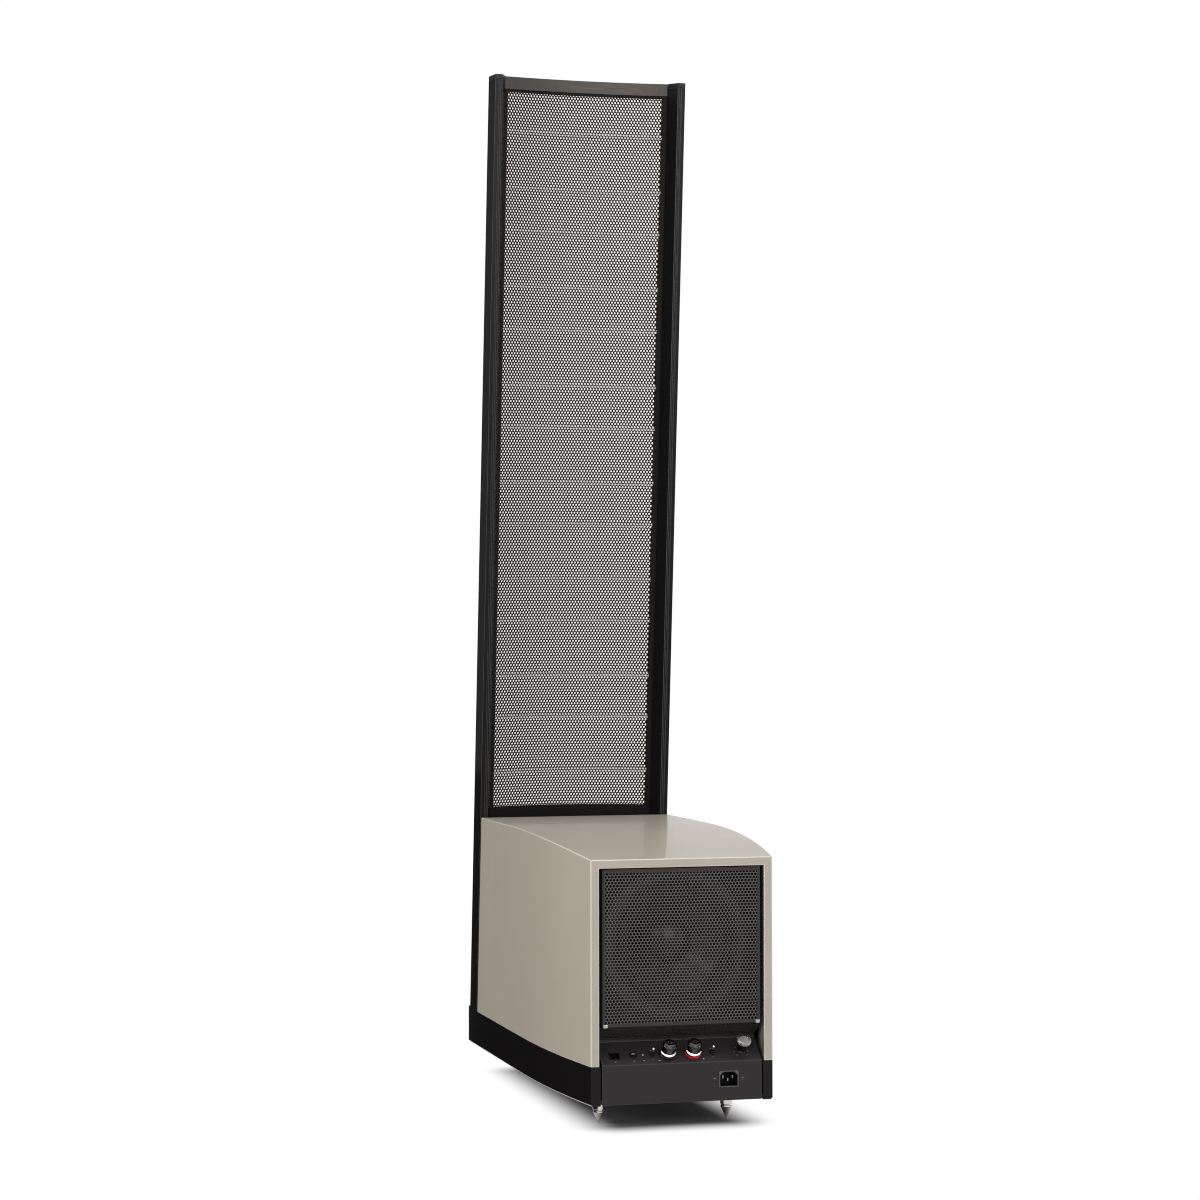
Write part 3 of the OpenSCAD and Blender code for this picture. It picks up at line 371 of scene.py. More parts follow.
class Paints:
    """Builds each finish once, as a procedural material."""

    UNDER_COAT_SHINE = 0.05
    COAT_ROUGHNESS = 0.008
    CLOTH_SHINE = 0.2
    BRUSHED_METALLIC = 0.85
    CLEAR_PASSES = 0.92
    CLEAR_IOR = 1.49
    CLEAR_SHINE = 0.22
    FILM_IOR = 1.2
    # Strength of the emission: the spars' painted glow and the status light's own glow.
    GLOW_STRENGTH = 0.15
    GRAIN_LIFT = 0.00006
    BRUSH_LIFT = 0.00003

    def __init__(self) -> None:
        """Builds the two shader groups that the materials share."""
        self._made: dict[str, bpy.types.Material] = {}
        self._grain = self._effect("fine_grain", 3.0, 9.0, self.GRAIN_LIFT)
        self._brush = self._effect("brushed_grain", 4.0, 14.0, self.BRUSH_LIFT, (0.02, 1.0, 1.0))

    def get(self, finish: Finish) -> bpy.types.Material:
        """Gives the material of a finish.

        Args:
            finish: The finish wanted.

        Returns:
            The material, built on first use.
        """
        if finish.name not in self._made:
            self._made[finish.name] = self._build(finish)
        return self._made[finish.name]

    @staticmethod
    def _group(name: str) -> tuple[bpy.types.NodeTree, bpy.types.Node, bpy.types.Node]:
        """Starts a shader group with the inputs and outputs that both effects share."""
        tree = bpy.data.node_groups.new(name, "ShaderNodeTree")
        for label, kind, value in (("Grain", "NodeSocketFloat", 900.0), ("Depth", "NodeSocketFloat", 0.2),
                                   ("Roughness", "NodeSocketFloat", 0.4)):
            tree.interface.new_socket(label, in_out="INPUT", socket_type=kind).default_value = value
        tree.interface.new_socket("Colour", in_out="INPUT", socket_type="NodeSocketColor")
        for label, kind in (("Colour", "NodeSocketColor"), ("Roughness", "NodeSocketFloat"),
                            ("Normal", "NodeSocketVector")):
            tree.interface.new_socket(label, in_out="OUTPUT", socket_type=kind)
        return tree, tree.nodes.new("NodeGroupInput"), tree.nodes.new("NodeGroupOutput")

    @staticmethod
    def _shade(tree: bpy.types.NodeTree, source: bpy.types.Node, pattern: bpy.types.NodeSocket,
               wide: bpy.types.NodeSocket, out: bpy.types.Node, lift: float) -> None:
        """Turns a fine and a wide pattern into the group's colour, roughness and normal."""
        nodes, links = tree.nodes, tree.links
        tint = nodes.new("ShaderNodeMapRange")
        tint.inputs["To Min"].default_value = 0.92
        tint.inputs["To Max"].default_value = 1.08
        links.new(wide, tint.inputs["Value"])
        scaled = nodes.new("ShaderNodeVectorMath")
        scaled.operation = "SCALE"
        links.new(source.outputs["Colour"], scaled.inputs[0])
        links.new(tint.outputs["Result"], scaled.inputs["Scale"])
        links.new(scaled.outputs["Vector"], out.inputs["Colour"])
        swing = nodes.new("ShaderNodeMath")
        swing.operation = "MULTIPLY_ADD"
        centred = nodes.new("ShaderNodeMath")
        centred.operation = "SUBTRACT"
        centred.inputs[1].default_value = 0.5
        links.new(pattern, centred.inputs[0])
        links.new(centred.outputs[0], swing.inputs[0])
        links.new(source.outputs["Depth"], swing.inputs[1])
        links.new(source.outputs["Roughness"], swing.inputs[2])
        links.new(swing.outputs[0], out.inputs["Roughness"])
        bump = nodes.new("ShaderNodeBump")
        bump.inputs["Distance"].default_value = lift
        links.new(source.outputs["Depth"], bump.inputs["Strength"])
        links.new(pattern, bump.inputs["Height"])
        links.new(bump.outputs["Normal"], out.inputs["Normal"])

    def _effect(self, name: str, detail: float, wide_scale: float, lift: float,
                stretch: Point | None = None) -> bpy.types.NodeTree:
        """Builds the group of one effect.

        Args:
            name: Name of the group.
            detail: Detail of the fine pattern.
            wide_scale: Scale of the wide pattern, in cycles per metre.
            lift: Height of the bumps.
            stretch: How the patterns are stretched, for streaks.

        Returns:
            The group.
        """
        tree, source, out = self._group(name)
        nodes, links = tree.nodes, tree.links
        place = nodes.new("ShaderNodeTexCoord").outputs["Object"]
        if stretch:
            mapping = nodes.new("ShaderNodeMapping")
            mapping.inputs["Scale"].default_value = stretch
            links.new(place, mapping.inputs["Vector"])
            place = mapping.outputs["Vector"]
        fine, wide = nodes.new("ShaderNodeTexNoise"), nodes.new("ShaderNodeTexNoise")
        fine.inputs["Detail"].default_value = detail
        wide.inputs["Detail"].default_value = 2.0
        wide.inputs["Scale"].default_value = wide_scale
        links.new(source.outputs["Grain"], fine.inputs["Scale"])
        for noise in (fine, wide):
            links.new(place, noise.inputs["Vector"])
        self._shade(tree, source, fine.outputs["Fac"], wide.outputs["Fac"], out, lift)
        return tree

    def _build(self, finish: Finish) -> bpy.types.Material:
        """Builds one material."""
        mat = bpy.data.materials.new(finish.name)
        mat.use_nodes = True
        nodes, links = mat.node_tree.nodes, mat.node_tree.links
        bsdf = nodes["Principled BSDF"]
        mat.diffuse_color = (*finish.colour, 1.0)
        if finish.surface is Surface.FILM:
            return self._film(mat, finish)
        group = nodes.new("ShaderNodeGroup")
        group.node_tree = self._brush if finish.surface is Surface.BRUSHED else self._grain
        colour = (*finish.colour, 1.0)
        put(group, {"Grain": finish.grain, "Depth": finish.depth, "Roughness": finish.roughness,
                    "Colour": colour})
        links.new(group.outputs["Colour"], bsdf.inputs["Base Color"])
        links.new(group.outputs["Roughness"], bsdf.inputs["Roughness"])
        if finish.surface not in (Surface.GLOSS, Surface.CLEAR):
            links.new(group.outputs["Normal"], bsdf.inputs["Normal"])
        put(bsdf, {"Base Color": colour, "Roughness": finish.roughness,
                   "Specular IOR Level": finish.specular})
        special = {
            Surface.GLOSS: {"Specular IOR Level": self.UNDER_COAT_SHINE, "Coat Weight": finish.specular,
                            "Coat Roughness": self.COAT_ROUGHNESS},
            Surface.METAL: {"Metallic": 1.0},
            Surface.BRUSHED: {"Metallic": self.BRUSHED_METALLIC},
            Surface.CLEAR: {"Transmission Weight": self.CLEAR_PASSES, "IOR": self.CLEAR_IOR,
                            "Specular IOR Level": self.CLEAR_SHINE},
            Surface.CLOTH: {"Specular IOR Level": self.CLOTH_SHINE},
            Surface.GLOW: {"Emission Color": colour, "Emission Strength": self.GLOW_STRENGTH}}
        put(bsdf, special.get(finish.surface, {}))
        return mat

    def _film(self, mat: bpy.types.Material, finish: Finish) -> bpy.types.Material:
        """Thin clear film: it lets light straight through and shines a little."""
        nodes, links = mat.node_tree.nodes, mat.node_tree.links
        nodes.remove(nodes["Principled BSDF"])
        clear = nodes.new("ShaderNodeBsdfTransparent")
        clear.inputs["Color"].default_value = (*finish.colour, 1.0)
        shine = nodes.new("ShaderNodeBsdfGlossy")
        shine.inputs["Roughness"].default_value = finish.roughness
        edge = nodes.new("ShaderNodeFresnel")
        edge.inputs["IOR"].default_value = self.FILM_IOR
        mix = nodes.new("ShaderNodeMixShader")
        links.new(edge.outputs[0], mix.inputs[0])
        links.new(clear.outputs[0], mix.inputs[1])
        links.new(shine.outputs[0], mix.inputs[2])
        links.new(mix.outputs[0], nodes["Material Output"].inputs["Surface"])
        return mat


class Form:
    """A mesh under construction, in metres, with a second material for its edges where it has one."""

    def __init__(self) -> None:
        """Starts an empty mesh."""
        self.bm = bmesh.new()

    def loft(self, loops: Sequence[Sequence[Point]], matrix: Matrix | None = None, cap: bool = True,
             ring: bool = False) -> list[bmesh.types.BMFace]:
        """Skins a run of equal loops.

        Args:
            loops: Loops of points, each in the same order and number.
            matrix: Where the result goes.
            cap: Closes both ends.
            ring: Joins the last loop to the first.

        Returns:
            The new faces.
        """
        place = matrix or Matrix.Identity(4)
        rows = [[self.bm.verts.new(place @ Vector(p)) for p in loop] for loop in loops]
        faces = []
        pairs = list(zip(rows, rows[1:])) + ([(rows[-1], rows[0])] if ring else [])
        n = len(rows[0])
        for a, b in pairs:
            for i in range(n):
                faces.append(self.bm.faces.new((a[i], a[(i + 1) % n], b[(i + 1) % n], b[i])))
        if cap and not ring:
            faces.append(self.bm.faces.new(list(reversed(rows[0]))))
            faces.append(self.bm.faces.new(rows[-1]))
        return faces

    def box(self, low: Point, high: Point, matrix: Matrix | None = None) -> list[bmesh.types.BMFace]:
        """Adds a box.

        Args:
            low: Lowest corner.
            high: Highest corner.
            matrix: Where the result goes.

        Returns:
            The new faces.
        """
        (x0, y0, z0), (x1, y1, z1) = low, high
        ring = [(x0, y0), (x1, y0), (x1, y1), (x0, y1)]
        return self.loft([[(x, y, z) for x, y in ring] for z in (z0, z1)], matrix)

    def lathe(self, profile: Sequence[tuple[float, float]], matrix: Matrix | None = None,
              steps: int = 64) -> None:
        """Turns a closed profile round Z.

        Args:
            profile: Points (radius, height), anticlockwise with the radius to the right. Points of radius 0
                are drawn once, and an edge between two of them is left out.
            matrix: Where the result goes.
            steps: Number of steps round the axis.
        """
        place = matrix or Matrix.Identity(4)
        turns = [(math.cos(2 * math.pi * k / steps), math.sin(2 * math.pi * k / steps)) for k in range(steps)]
        rings = []
        for r, z in profile:
            count = turns if r > 1e-7 else [(0.0, 0.0)]
            rings.append([self.bm.verts.new(place @ Vector((r * c, r * s, z))) for c, s in count])
        for a, b in zip(rings, rings[1:] + rings[:1]):
            if len(a) == 1 and len(b) == 1:
                continue
            for k in range(steps):
                j = (k + 1) % steps
                corners = [a[k % len(a)], a[j % len(a)], b[j % len(b)], b[k % len(b)]]
                self.bm.faces.new(list(dict.fromkeys(corners)))

    def round_edges(self, width: float, segments: int = 2, limit: float = 30.0, material: int = -1) -> None:
        """Rounds the sharp edges.

        Args:
            width: Width of the rounding.
            segments: Number of steps across it.
            limit: Least angle between two faces, in degrees.
            material: Index of the rounding's material, or -1 for that of its neighbours.
        """
        self.bm.normal_update()
        edges = [e for e in self.bm.edges if len(e.link_faces) == 2
                 and e.calc_face_angle(0) > math.radians(limit)]
        bmesh.ops.bevel(self.bm, geom=edges, offset=width, segments=segments, profile=0.5, affect="EDGES",
                        clamp_overlap=True, material=material)

    def object(self, name: str, material: bpy.types.Material, smooth: float = 35.0, weigh: bool = True,
               edge: bpy.types.Material | None = None) -> bpy.types.Object:
        """Closes the form and puts it in the scene.

        Args:
            name: Name of the object.
            material: Its material.
            smooth: Largest angle that is shaded smooth, in degrees.
            weigh: Lets large faces keep flat shading beside rounded edges.
            edge: Material of the faces that were given index 1.

        Returns:
            The object, at the origin.
        """
        bmesh.ops.recalc_face_normals(self.bm, faces=self.bm.faces)
        mesh = bpy.data.meshes.new(name)
        self.bm.to_mesh(mesh)
        self.bm.free()
        mesh.materials.append(material)
        if edge:
            mesh.materials.append(edge)
        mesh.polygons.foreach_set("use_smooth", [True] * len(mesh.polygons))
        mesh.set_sharp_from_angle(angle=math.radians(smooth))
        obj = bpy.data.objects.new(name, mesh)
        bpy.context.scene.collection.objects.link(obj)
        return flatten(obj) if weigh else obj


def bake(obj: bpy.types.Object) -> bpy.types.Object:
    """Turns an object's modifiers into plain mesh.

    Args:
        obj: The object.

    Returns:
        The same object, without modifiers.
    """
    bpy.context.view_layer.update()
    evaluated = obj.evaluated_get(bpy.context.evaluated_depsgraph_get())
    mesh = bpy.data.meshes.new_from_object(evaluated)
    mesh.name = obj.name
    obj.modifiers.clear()
    obj.data = mesh
    return obj


def flatten(obj: bpy.types.Object) -> bpy.types.Object:
    """Gives large faces flat shading beside rounded edges.

    Args:
        obj: The object.

    Returns:
        The same object.
    """
    flat = obj.modifiers.new("flat_faces", "WEIGHTED_NORMAL")
    flat.keep_sharp = True
    return bake(obj)


def cut(obj: bpy.types.Object, cutter: Form) -> None:
    """Cuts a form out of an object.

    Args:
        obj: The object that is cut.
        cutter: The form that is taken away.
    """
    tool = cutter.object("cutter", obj.data.materials[0], weigh=False)
    cutting = obj.modifiers.new("cut", "BOOLEAN")
    cutting.operation, cutting.solver, cutting.object = "DIFFERENCE", "EXACT", tool
    bake(obj)
    bpy.data.objects.remove(tool, do_unlink=True)


def arc_points(cx: float, cy: float, r: float, a0: float, a1: float, n: int) -> list[tuple[float, float]]:
    """Gives points on an arc.

    Args:
        cx: Centre, first axis.
        cy: Centre, second axis.
        r: Radius.
        a0: First angle, in degrees.
        a1: Last angle, in degrees.
        n: Number of steps.

    Returns:
        The points, ends included.
    """
    return [(cx + r * math.cos(math.radians(a0 + (a1 - a0) * k / n)),
             cy + r * math.sin(math.radians(a0 + (a1 - a0) * k / n))) for k in range(n + 1)]


class NodeTools:
    """Geometry Nodes trees for what repeats, and the call that runs them."""

    MERGE_WITHIN = 0.02 * MM

    def __init__(self) -> None:
        """Builds both trees."""
        self.sheet = self._sheet_tree()
        self.round = self._round_tree()

    @staticmethod
    def _start(name: str, inputs: Iterable[tuple[str, str, object]]) -> tuple:
        """Starts a tree with a geometry input, named inputs and a geometry output."""
        tree = bpy.data.node_groups.new(name, "GeometryNodeTree")
        tree.interface.new_socket("Geometry", in_out="INPUT", socket_type="NodeSocketGeometry")
        for label, kind, value in inputs:
            socket = tree.interface.new_socket(label, in_out="INPUT", socket_type=kind)
            if value is not None:
                socket.default_value = value
        tree.interface.new_socket("Geometry", in_out="OUTPUT", socket_type="NodeSocketGeometry")
        return tree, tree.nodes.new("NodeGroupInput"), tree.nodes.new("NodeGroupOutput")

    @staticmethod
    def _maths(tree: bpy.types.NodeTree, operation: str, *values: object) -> bpy.types.NodeSocket:
        """Adds a maths node. A value is a socket or a number."""
        node = tree.nodes.new("ShaderNodeMath")
        node.operation = operation
        for slot, value in zip(node.inputs, values):
            if isinstance(value, bpy.types.NodeSocket):
                tree.links.new(value, slot)
            else:
                slot.default_value = value
        return node.outputs[0]

    @staticmethod
    def _finish(tree: bpy.types.NodeTree, geometry: bpy.types.NodeSocket, source: bpy.types.Node,
                out: bpy.types.Node) -> None:
        """Ends a tree with Realize Instances and Set Material."""
        real = tree.nodes.new("GeometryNodeRealizeInstances")
        paint = tree.nodes.new("GeometryNodeSetMaterial")
        tree.links.new(geometry, real.inputs["Geometry"])
        tree.links.new(real.outputs["Geometry"], paint.inputs["Geometry"])
        tree.links.new(source.outputs["Material"], paint.inputs["Material"])
        tree.links.new(paint.outputs["Geometry"], out.inputs["Geometry"])

    def _sheet_tree(self) -> bpy.types.NodeTree:
        """Perforated sheet: cells on staggered rows, given a thickness and bent round an upright axis."""
        tree, source, out = self._start("perforated_sheet", (
            ("Columns", "NodeSocketInt", 10), ("Rows", "NodeSocketInt", 10),
            ("Pitch", "NodeSocketFloat", 0.00476), ("Thickness", "NodeSocketFloat", 0.0012),
            ("Inner Radius", "NodeSocketFloat", 0.5),
            ("Shift", "NodeSocketFloat", 0.0), ("Material", "NodeSocketMaterial", None)))
        nodes, links, maths = tree.nodes, tree.links, self._maths
        pitch, rows, thick = source.outputs["Pitch"], source.outputs["Rows"], source.outputs["Thickness"]
        row_pitch = maths(tree, "MULTIPLY", pitch, math.sqrt(3) / 2)
        wide = maths(tree, "MULTIPLY", pitch, maths(tree, "SUBTRACT", source.outputs["Columns"], 1))
        high = maths(tree, "MULTIPLY", row_pitch, maths(tree, "SUBTRACT", rows, 1))
        grid = nodes.new("GeometryNodeMeshGrid")
        for value, label in ((wide, "Size X"), (high, "Size Y"), (rows, "Vertices Y"),
                             (source.outputs["Columns"], "Vertices X")):
            links.new(value, grid.inputs[label])
        place = nodes.new("ShaderNodeSeparateXYZ")
        links.new(nodes.new("GeometryNodeInputPosition").outputs[0], place.inputs[0])
        half_high = maths(tree, "MULTIPLY", high, 0.5)
        above = maths(tree, "ADD", place.outputs["Y"], half_high)
        row = maths(tree, "ROUND", maths(tree, "DIVIDE", above, row_pitch))
        odd = maths(tree, "MODULO", row, 2.0)
        half_pitch = maths(tree, "MULTIPLY", pitch, 0.5)
        step = maths(tree, "MULTIPLY", maths(tree, "SUBTRACT", odd, 0.5), half_pitch)
        offset = nodes.new("ShaderNodeCombineXYZ")
        links.new(step, offset.inputs["X"])
        links.new(half_high, offset.inputs["Y"])
        stagger = nodes.new("GeometryNodeSetPosition")
        links.new(grid.outputs["Mesh"], stagger.inputs["Geometry"])
        links.new(offset.outputs[0], stagger.inputs["Offset"])
        cells = nodes.new("GeometryNodeInstanceOnPoints")
        links.new(stagger.outputs[0], cells.inputs["Points"])
        links.new(source.outputs["Geometry"], cells.inputs["Instance"])
        real = nodes.new("GeometryNodeRealizeInstances")
        links.new(cells.outputs[0], real.inputs[0])
        flat = nodes.new("GeometryNodeMergeByDistance")
        flat.inputs["Distance"].default_value = self.MERGE_WITHIN
        links.new(real.outputs[0], flat.inputs["Geometry"])
        thicken = nodes.new("GeometryNodeExtrudeMesh")
        thicken.inputs["Individual"].default_value = False
        links.new(flat.outputs[0], thicken.inputs["Mesh"])
        links.new(thick, thicken.inputs["Offset Scale"])
        under = nodes.new("GeometryNodeFlipFaces")
        links.new(flat.outputs[0], under.inputs["Mesh"])
        both = nodes.new("GeometryNodeJoinGeometry")
        links.new(under.outputs[0], both.inputs[0])
        links.new(thicken.outputs["Mesh"], both.inputs[0])
        closed = nodes.new("GeometryNodeMergeByDistance")
        closed.inputs["Distance"].default_value = self.MERGE_WITHIN
        links.new(both.outputs[0], closed.inputs["Geometry"])
        radius = maths(tree, "ADD", source.outputs["Inner Radius"], place.outputs["Z"])
        middle = maths(tree, "ADD", source.outputs["Inner Radius"], maths(tree, "MULTIPLY", thick, 0.5))
        angle = maths(tree, "DIVIDE", maths(tree, "ADD", place.outputs["X"], source.outputs["Shift"]), middle)
        bent = nodes.new("ShaderNodeCombineXYZ")
        links.new(maths(tree, "MULTIPLY", radius, maths(tree, "SINE", angle)), bent.inputs["X"])
        ahead = maths(tree, "MULTIPLY", radius, maths(tree, "COSINE", angle))
        links.new(maths(tree, "MULTIPLY", ahead, -1.0), bent.inputs["Y"])
        links.new(place.outputs["Y"], bent.inputs["Z"])
        bend = nodes.new("GeometryNodeSetPosition")
        links.new(closed.outputs[0], bend.inputs["Geometry"])
        links.new(bent.outputs[0], bend.inputs["Position"])
        self._finish(tree, bend.outputs[0], source, out)
        return tree

    def _round_tree(self) -> bpy.types.NodeTree:
        """Copies of a piece round the Z axis."""
        tree, source, out = self._start("copies_round_axis", (
            ("Count", "NodeSocketInt", 8), ("First Angle", "NodeSocketFloat", 0.0),
            ("Material", "NodeSocketMaterial", None)))
        nodes, links = tree.nodes, tree.links
        line = nodes.new("GeometryNodeMeshLine")
        line.inputs["Offset"].default_value = (0.0, 0.0, 0.0)
        links.new(source.outputs["Count"], line.inputs["Count"])
        copies = nodes.new("GeometryNodeInstanceOnPoints")
        links.new(line.outputs[0], copies.inputs["Points"])
        links.new(source.outputs["Geometry"], copies.inputs["Instance"])
        index = nodes.new("GeometryNodeInputIndex").outputs[0]
        part = self._maths(tree, "DIVIDE", index, source.outputs["Count"])
        angle = self._maths(tree, "MULTIPLY_ADD", part, 2 * math.pi, source.outputs["First Angle"])
        turn = nodes.new("ShaderNodeCombineXYZ")
        links.new(angle, turn.inputs["Z"])
        links.new(turn.outputs[0], copies.inputs["Rotation"])
        self._finish(tree, copies.outputs[0], source, out)
        return tree

    @staticmethod
    def run(tree: bpy.types.NodeTree, obj: bpy.types.Object, matrix: Matrix | None = None,
            **values: object) -> bpy.types.Object:
        """Runs a tree on an object and keeps the result as plain mesh.

        Args:
            tree: The tree.
            obj: The object whose mesh the tree repeats.
            matrix: Where the result goes.
            **values: The tree's inputs by name, spaces written as underscores.

        Returns:
            The same object.
        """
        ids = {s.name: s.identifier for s in tree.interface.items_tree
               if s.item_type == "SOCKET" and s.in_out == "INPUT"}
        modifier = obj.modifiers.new(tree.name, "NODES")
        modifier.node_group = tree
        material = obj.data.materials[0]
        modifier[ids["Material"]] = material
        for label, value in values.items():
            modifier[ids[label.replace("_", " ")]] = value
        bake(obj)
        obj.data.transform(matrix or Matrix.Identity(4))
        obj.data.materials.clear()
        obj.data.materials.append(material)
        return obj


class Workshop:
    """What every assembly builds with, and the pieces that it hands over to the frame."""

    def __init__(self, sizes: Sizes, frame: dict) -> None:
        """Sets the workshop up.

        Args:
            sizes: The sizes that the assemblies share.
            frame: The loaded CAD frame.
        """
        self.sizes = sizes
        self.paints = Paints()
        self.nodes = NodeTools()
        self.cad: dict[str, bpy.types.Object] = frame["nodes"]

    def add(self, obj: bpy.types.Object, body: str = ROOT_BODY, replaces: Sequence[str] = (),
            slot: str | None = None) -> bpy.types.Object:
        """Hands a piece over to the frame.

        Args:
            obj: The piece.
            body: The CAD body that it moves with.
            replaces: CAD nodes that it stands for.
            slot: The record's material slot; not used.

        Returns:
            The piece.
        """
        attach(obj, body)
        if replaces:
            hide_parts(*replaces)
        log.info("piece %s rides %s", obj.name, body)
        return obj

    def paint_cad(self, finish: Finish, *names: str) -> None:
        """Paints CAD nodes that are shown as they are.

        Args:
            finish: The finish.
            *names: The nodes.
        """
        for name in names:
            mesh = self.cad[name].data
            if not mesh.materials:
                mesh.materials.append(None)
            for i in range(len(mesh.materials)):
                mesh.materials[i] = self.paints.get(finish)
            log.info("node %s painted %s", name, finish.name)

    def hole_cell(self, name: str, pitch: float, hole: float, sides: int,
                  finish: Finish) -> bpy.types.Object:
        """Makes one flat cell of a perforated sheet: a hexagon with a hole.

        Args:
            name: Name of the object.
            pitch: Distance between holes in a row.
            hole: Diameter of the hole.
            sides: Number of sides that the hole is drawn with.
            finish: The sheet's finish.

        Returns:
            The cell.
        """
        outer = [(pitch / math.sqrt(3), math.radians(30 + 60 * k)) for k in range(6)]
        swell = math.sqrt(2 * math.pi / sides / math.sin(2 * math.pi / sides))
        inner = [(swell * hole / 2, 2 * math.pi * (k + 0.5) / sides) for k in range(sides)]
        form = Form()
        made = [[form.bm.verts.new((r * math.cos(a), r * math.sin(a), 0)) for r, a in ring]
                for ring in (outer, inner)]
        i = j = 0
        while i < 6 or j < sides:
            a = outer[i % 6][1] + 2 * math.pi * (i // 6)
            b = inner[j % sides][1] + 2 * math.pi * (j // sides)
            if j >= sides or (i < 6 and a <= b):
                form.bm.faces.new((made[0][i % 6], made[0][(i + 1) % 6], made[1][j % sides]))
                i += 1
            else:
                form.bm.faces.new((made[1][j % sides], made[0][i % 6], made[1][(j + 1) % sides]))
                j += 1
        mesh = bpy.data.meshes.new(name)
        bmesh.ops.recalc_face_normals(form.bm, faces=form.bm.faces)
        form.bm.to_mesh(mesh)
        form.bm.free()
        if mesh.polygons[0].normal.z < 0:
            mesh.flip_normals()
        mesh.materials.append(self.paints.get(finish))
        obj = bpy.data.objects.new(name, mesh)
        bpy.context.scene.collection.objects.link(obj)
        return obj


@dataclass
class RailFrame:
    """The two rails with their caps and the curved bars between them.

    Attributes:
        shop: The workshop.
        groove: Outline of the groove in a rail's rear face, x and u.
        slot_deep: Depth of the panel's slot.
        slot_u: The slot's two ends, behind the rails' front.
        step_u: Depth of a rail's inner face.
        cap_corner: How far the cap's slanting rear edge starts from its outer face.
        cap_gap: Gap between a rail and its cap.
        rounding: Width of the rails' and of the bars' rounded edges.
        bar_steps: Number of steps along a bar.
    """

    shop: Workshop
    groove: Outline = ((0.1395, 0.0462), (0.1423, 0.0462), (0.1423, 0.0450), (0.1448, 0.0450),
                       (0.1448, 0.0470))
    slot_deep: float = 0.006
    slot_u: tuple[float, float] = (0.0078, 0.0185)
    step_u: float = 0.025
    cap_corner: float = 0.0115
    cap_gap: float = 0.05 * MM
    rounding: tuple[float, float] = (0.45 * MM, 0.5 * MM)
    bar_steps: int = 48

    def _section(self, side: Turn) -> list[tuple[float, float]]:
        """Section of a rail, x and u."""
        s = self.shop.sizes
        near, far = self.slot_u
        deep = s.inner_x + self.slot_deep
        ring = [(s.inner_x, 0.0), (s.half, 0.0), (s.half, s.rail_d), *reversed(self.groove),
                (s.inner_x, self.step_u), (s.inner_x, far), (deep, far), (deep, near), (s.inner_x, near)]
        return [(side.value * x, u) for x, u in ring]

    def _rail(self, side: Turn) -> Form:
        """A rail, its foot level with the deck, its rounded edges painted lighter as a highlight."""
        s = self.shop.sizes
        ring = self._section(side)
        form = Form()
        form.loft([[(x, u, u * math.tan(math.radians(s.rake))) for x, u in ring],
                   [(x, u, s.frame_l - s.cap_t) for x, u in ring]], s.raked())
        # The rounding takes material 1, the lighter grey: a painted highlight along the rails' edges.
        form.round_edges(self.rounding[0], 2, 30, 1)
        return form

    def _cap(self, side: Turn) -> Form:
        """A rail's end cap."""
        s = self.shop.sizes
        corners = ((s.inner_x, 0.0), (s.half, 0.0), (s.half, s.rail_d),
                   (s.half - self.cap_corner, s.rail_d), (s.inner_x, self.step_u))
        ring = [(side.value * x, u) for x, u in corners]
        form = Form()
        levels = (s.frame_l - s.cap_t + self.cap_gap, s.frame_l)
        form.loft([[(x, u, w) for x, u in ring] for w in levels], s.raked())
        form.round_edges(self.rounding[1], 2, 30)
        return form

    def _bar(self, w0: float) -> Form:
        """A curved bar, its foot w0 up the rails."""
        s = self.shop.sizes
        form = Form()
        r0, r1 = s.arc_r - s.bar_t / 2, s.arc_r + s.bar_t / 2
        loops = []
        for k in range(self.bar_steps + 1):
            x = s.inner_x * (2 * k / self.bar_steps - 1)
            loops.append([(x, s.arc_u - math.sqrt(r * r - x * x), w)
                          for r, w in ((r0, w0), (r1, w0), (r1, w0 + s.bar_h), (r0, w0 + s.bar_h))])
        form.loft(loops, s.raked())
        form.round_edges(self.rounding[1], 2, 50)
        return form

    def build(self) -> None:
        """Builds the frame."""
        shop, s = self.shop, self.shop.sizes
        for side, node in ((Turn.LEFT, "left_rail"), (Turn.RIGHT, "right_rail")):
            label = side.name.lower()
            rail = self._rail(side).object(f"rail_{label}", shop.paints.get(RAIL_BLACK),
                                           edge=shop.paints.get(RAIL_PAINTED_HIGHLIGHT))
            shop.add(rail, replaces=[node], slot="satin_black_metal")
            cap = self._cap(side).object(f"rail_cap_{label}", shop.paints.get(CAP_BLACK))
            shop.add(cap, replaces=["rail_caps"], slot="satin_black_metal")
        shop.add(self._bar(s.panel_top).object("bar_top", shop.paints.get(BAR_GREY)),
                 replaces=["top_crossbar"], slot="brushed_grey_metal")
        shop.add(self._bar(s.panel_foot - s.bar_h).object("bar_bottom", shop.paints.get(BAR_BLACK)),
                 replaces=["bottom_crossbar"], slot="black_crossbar")


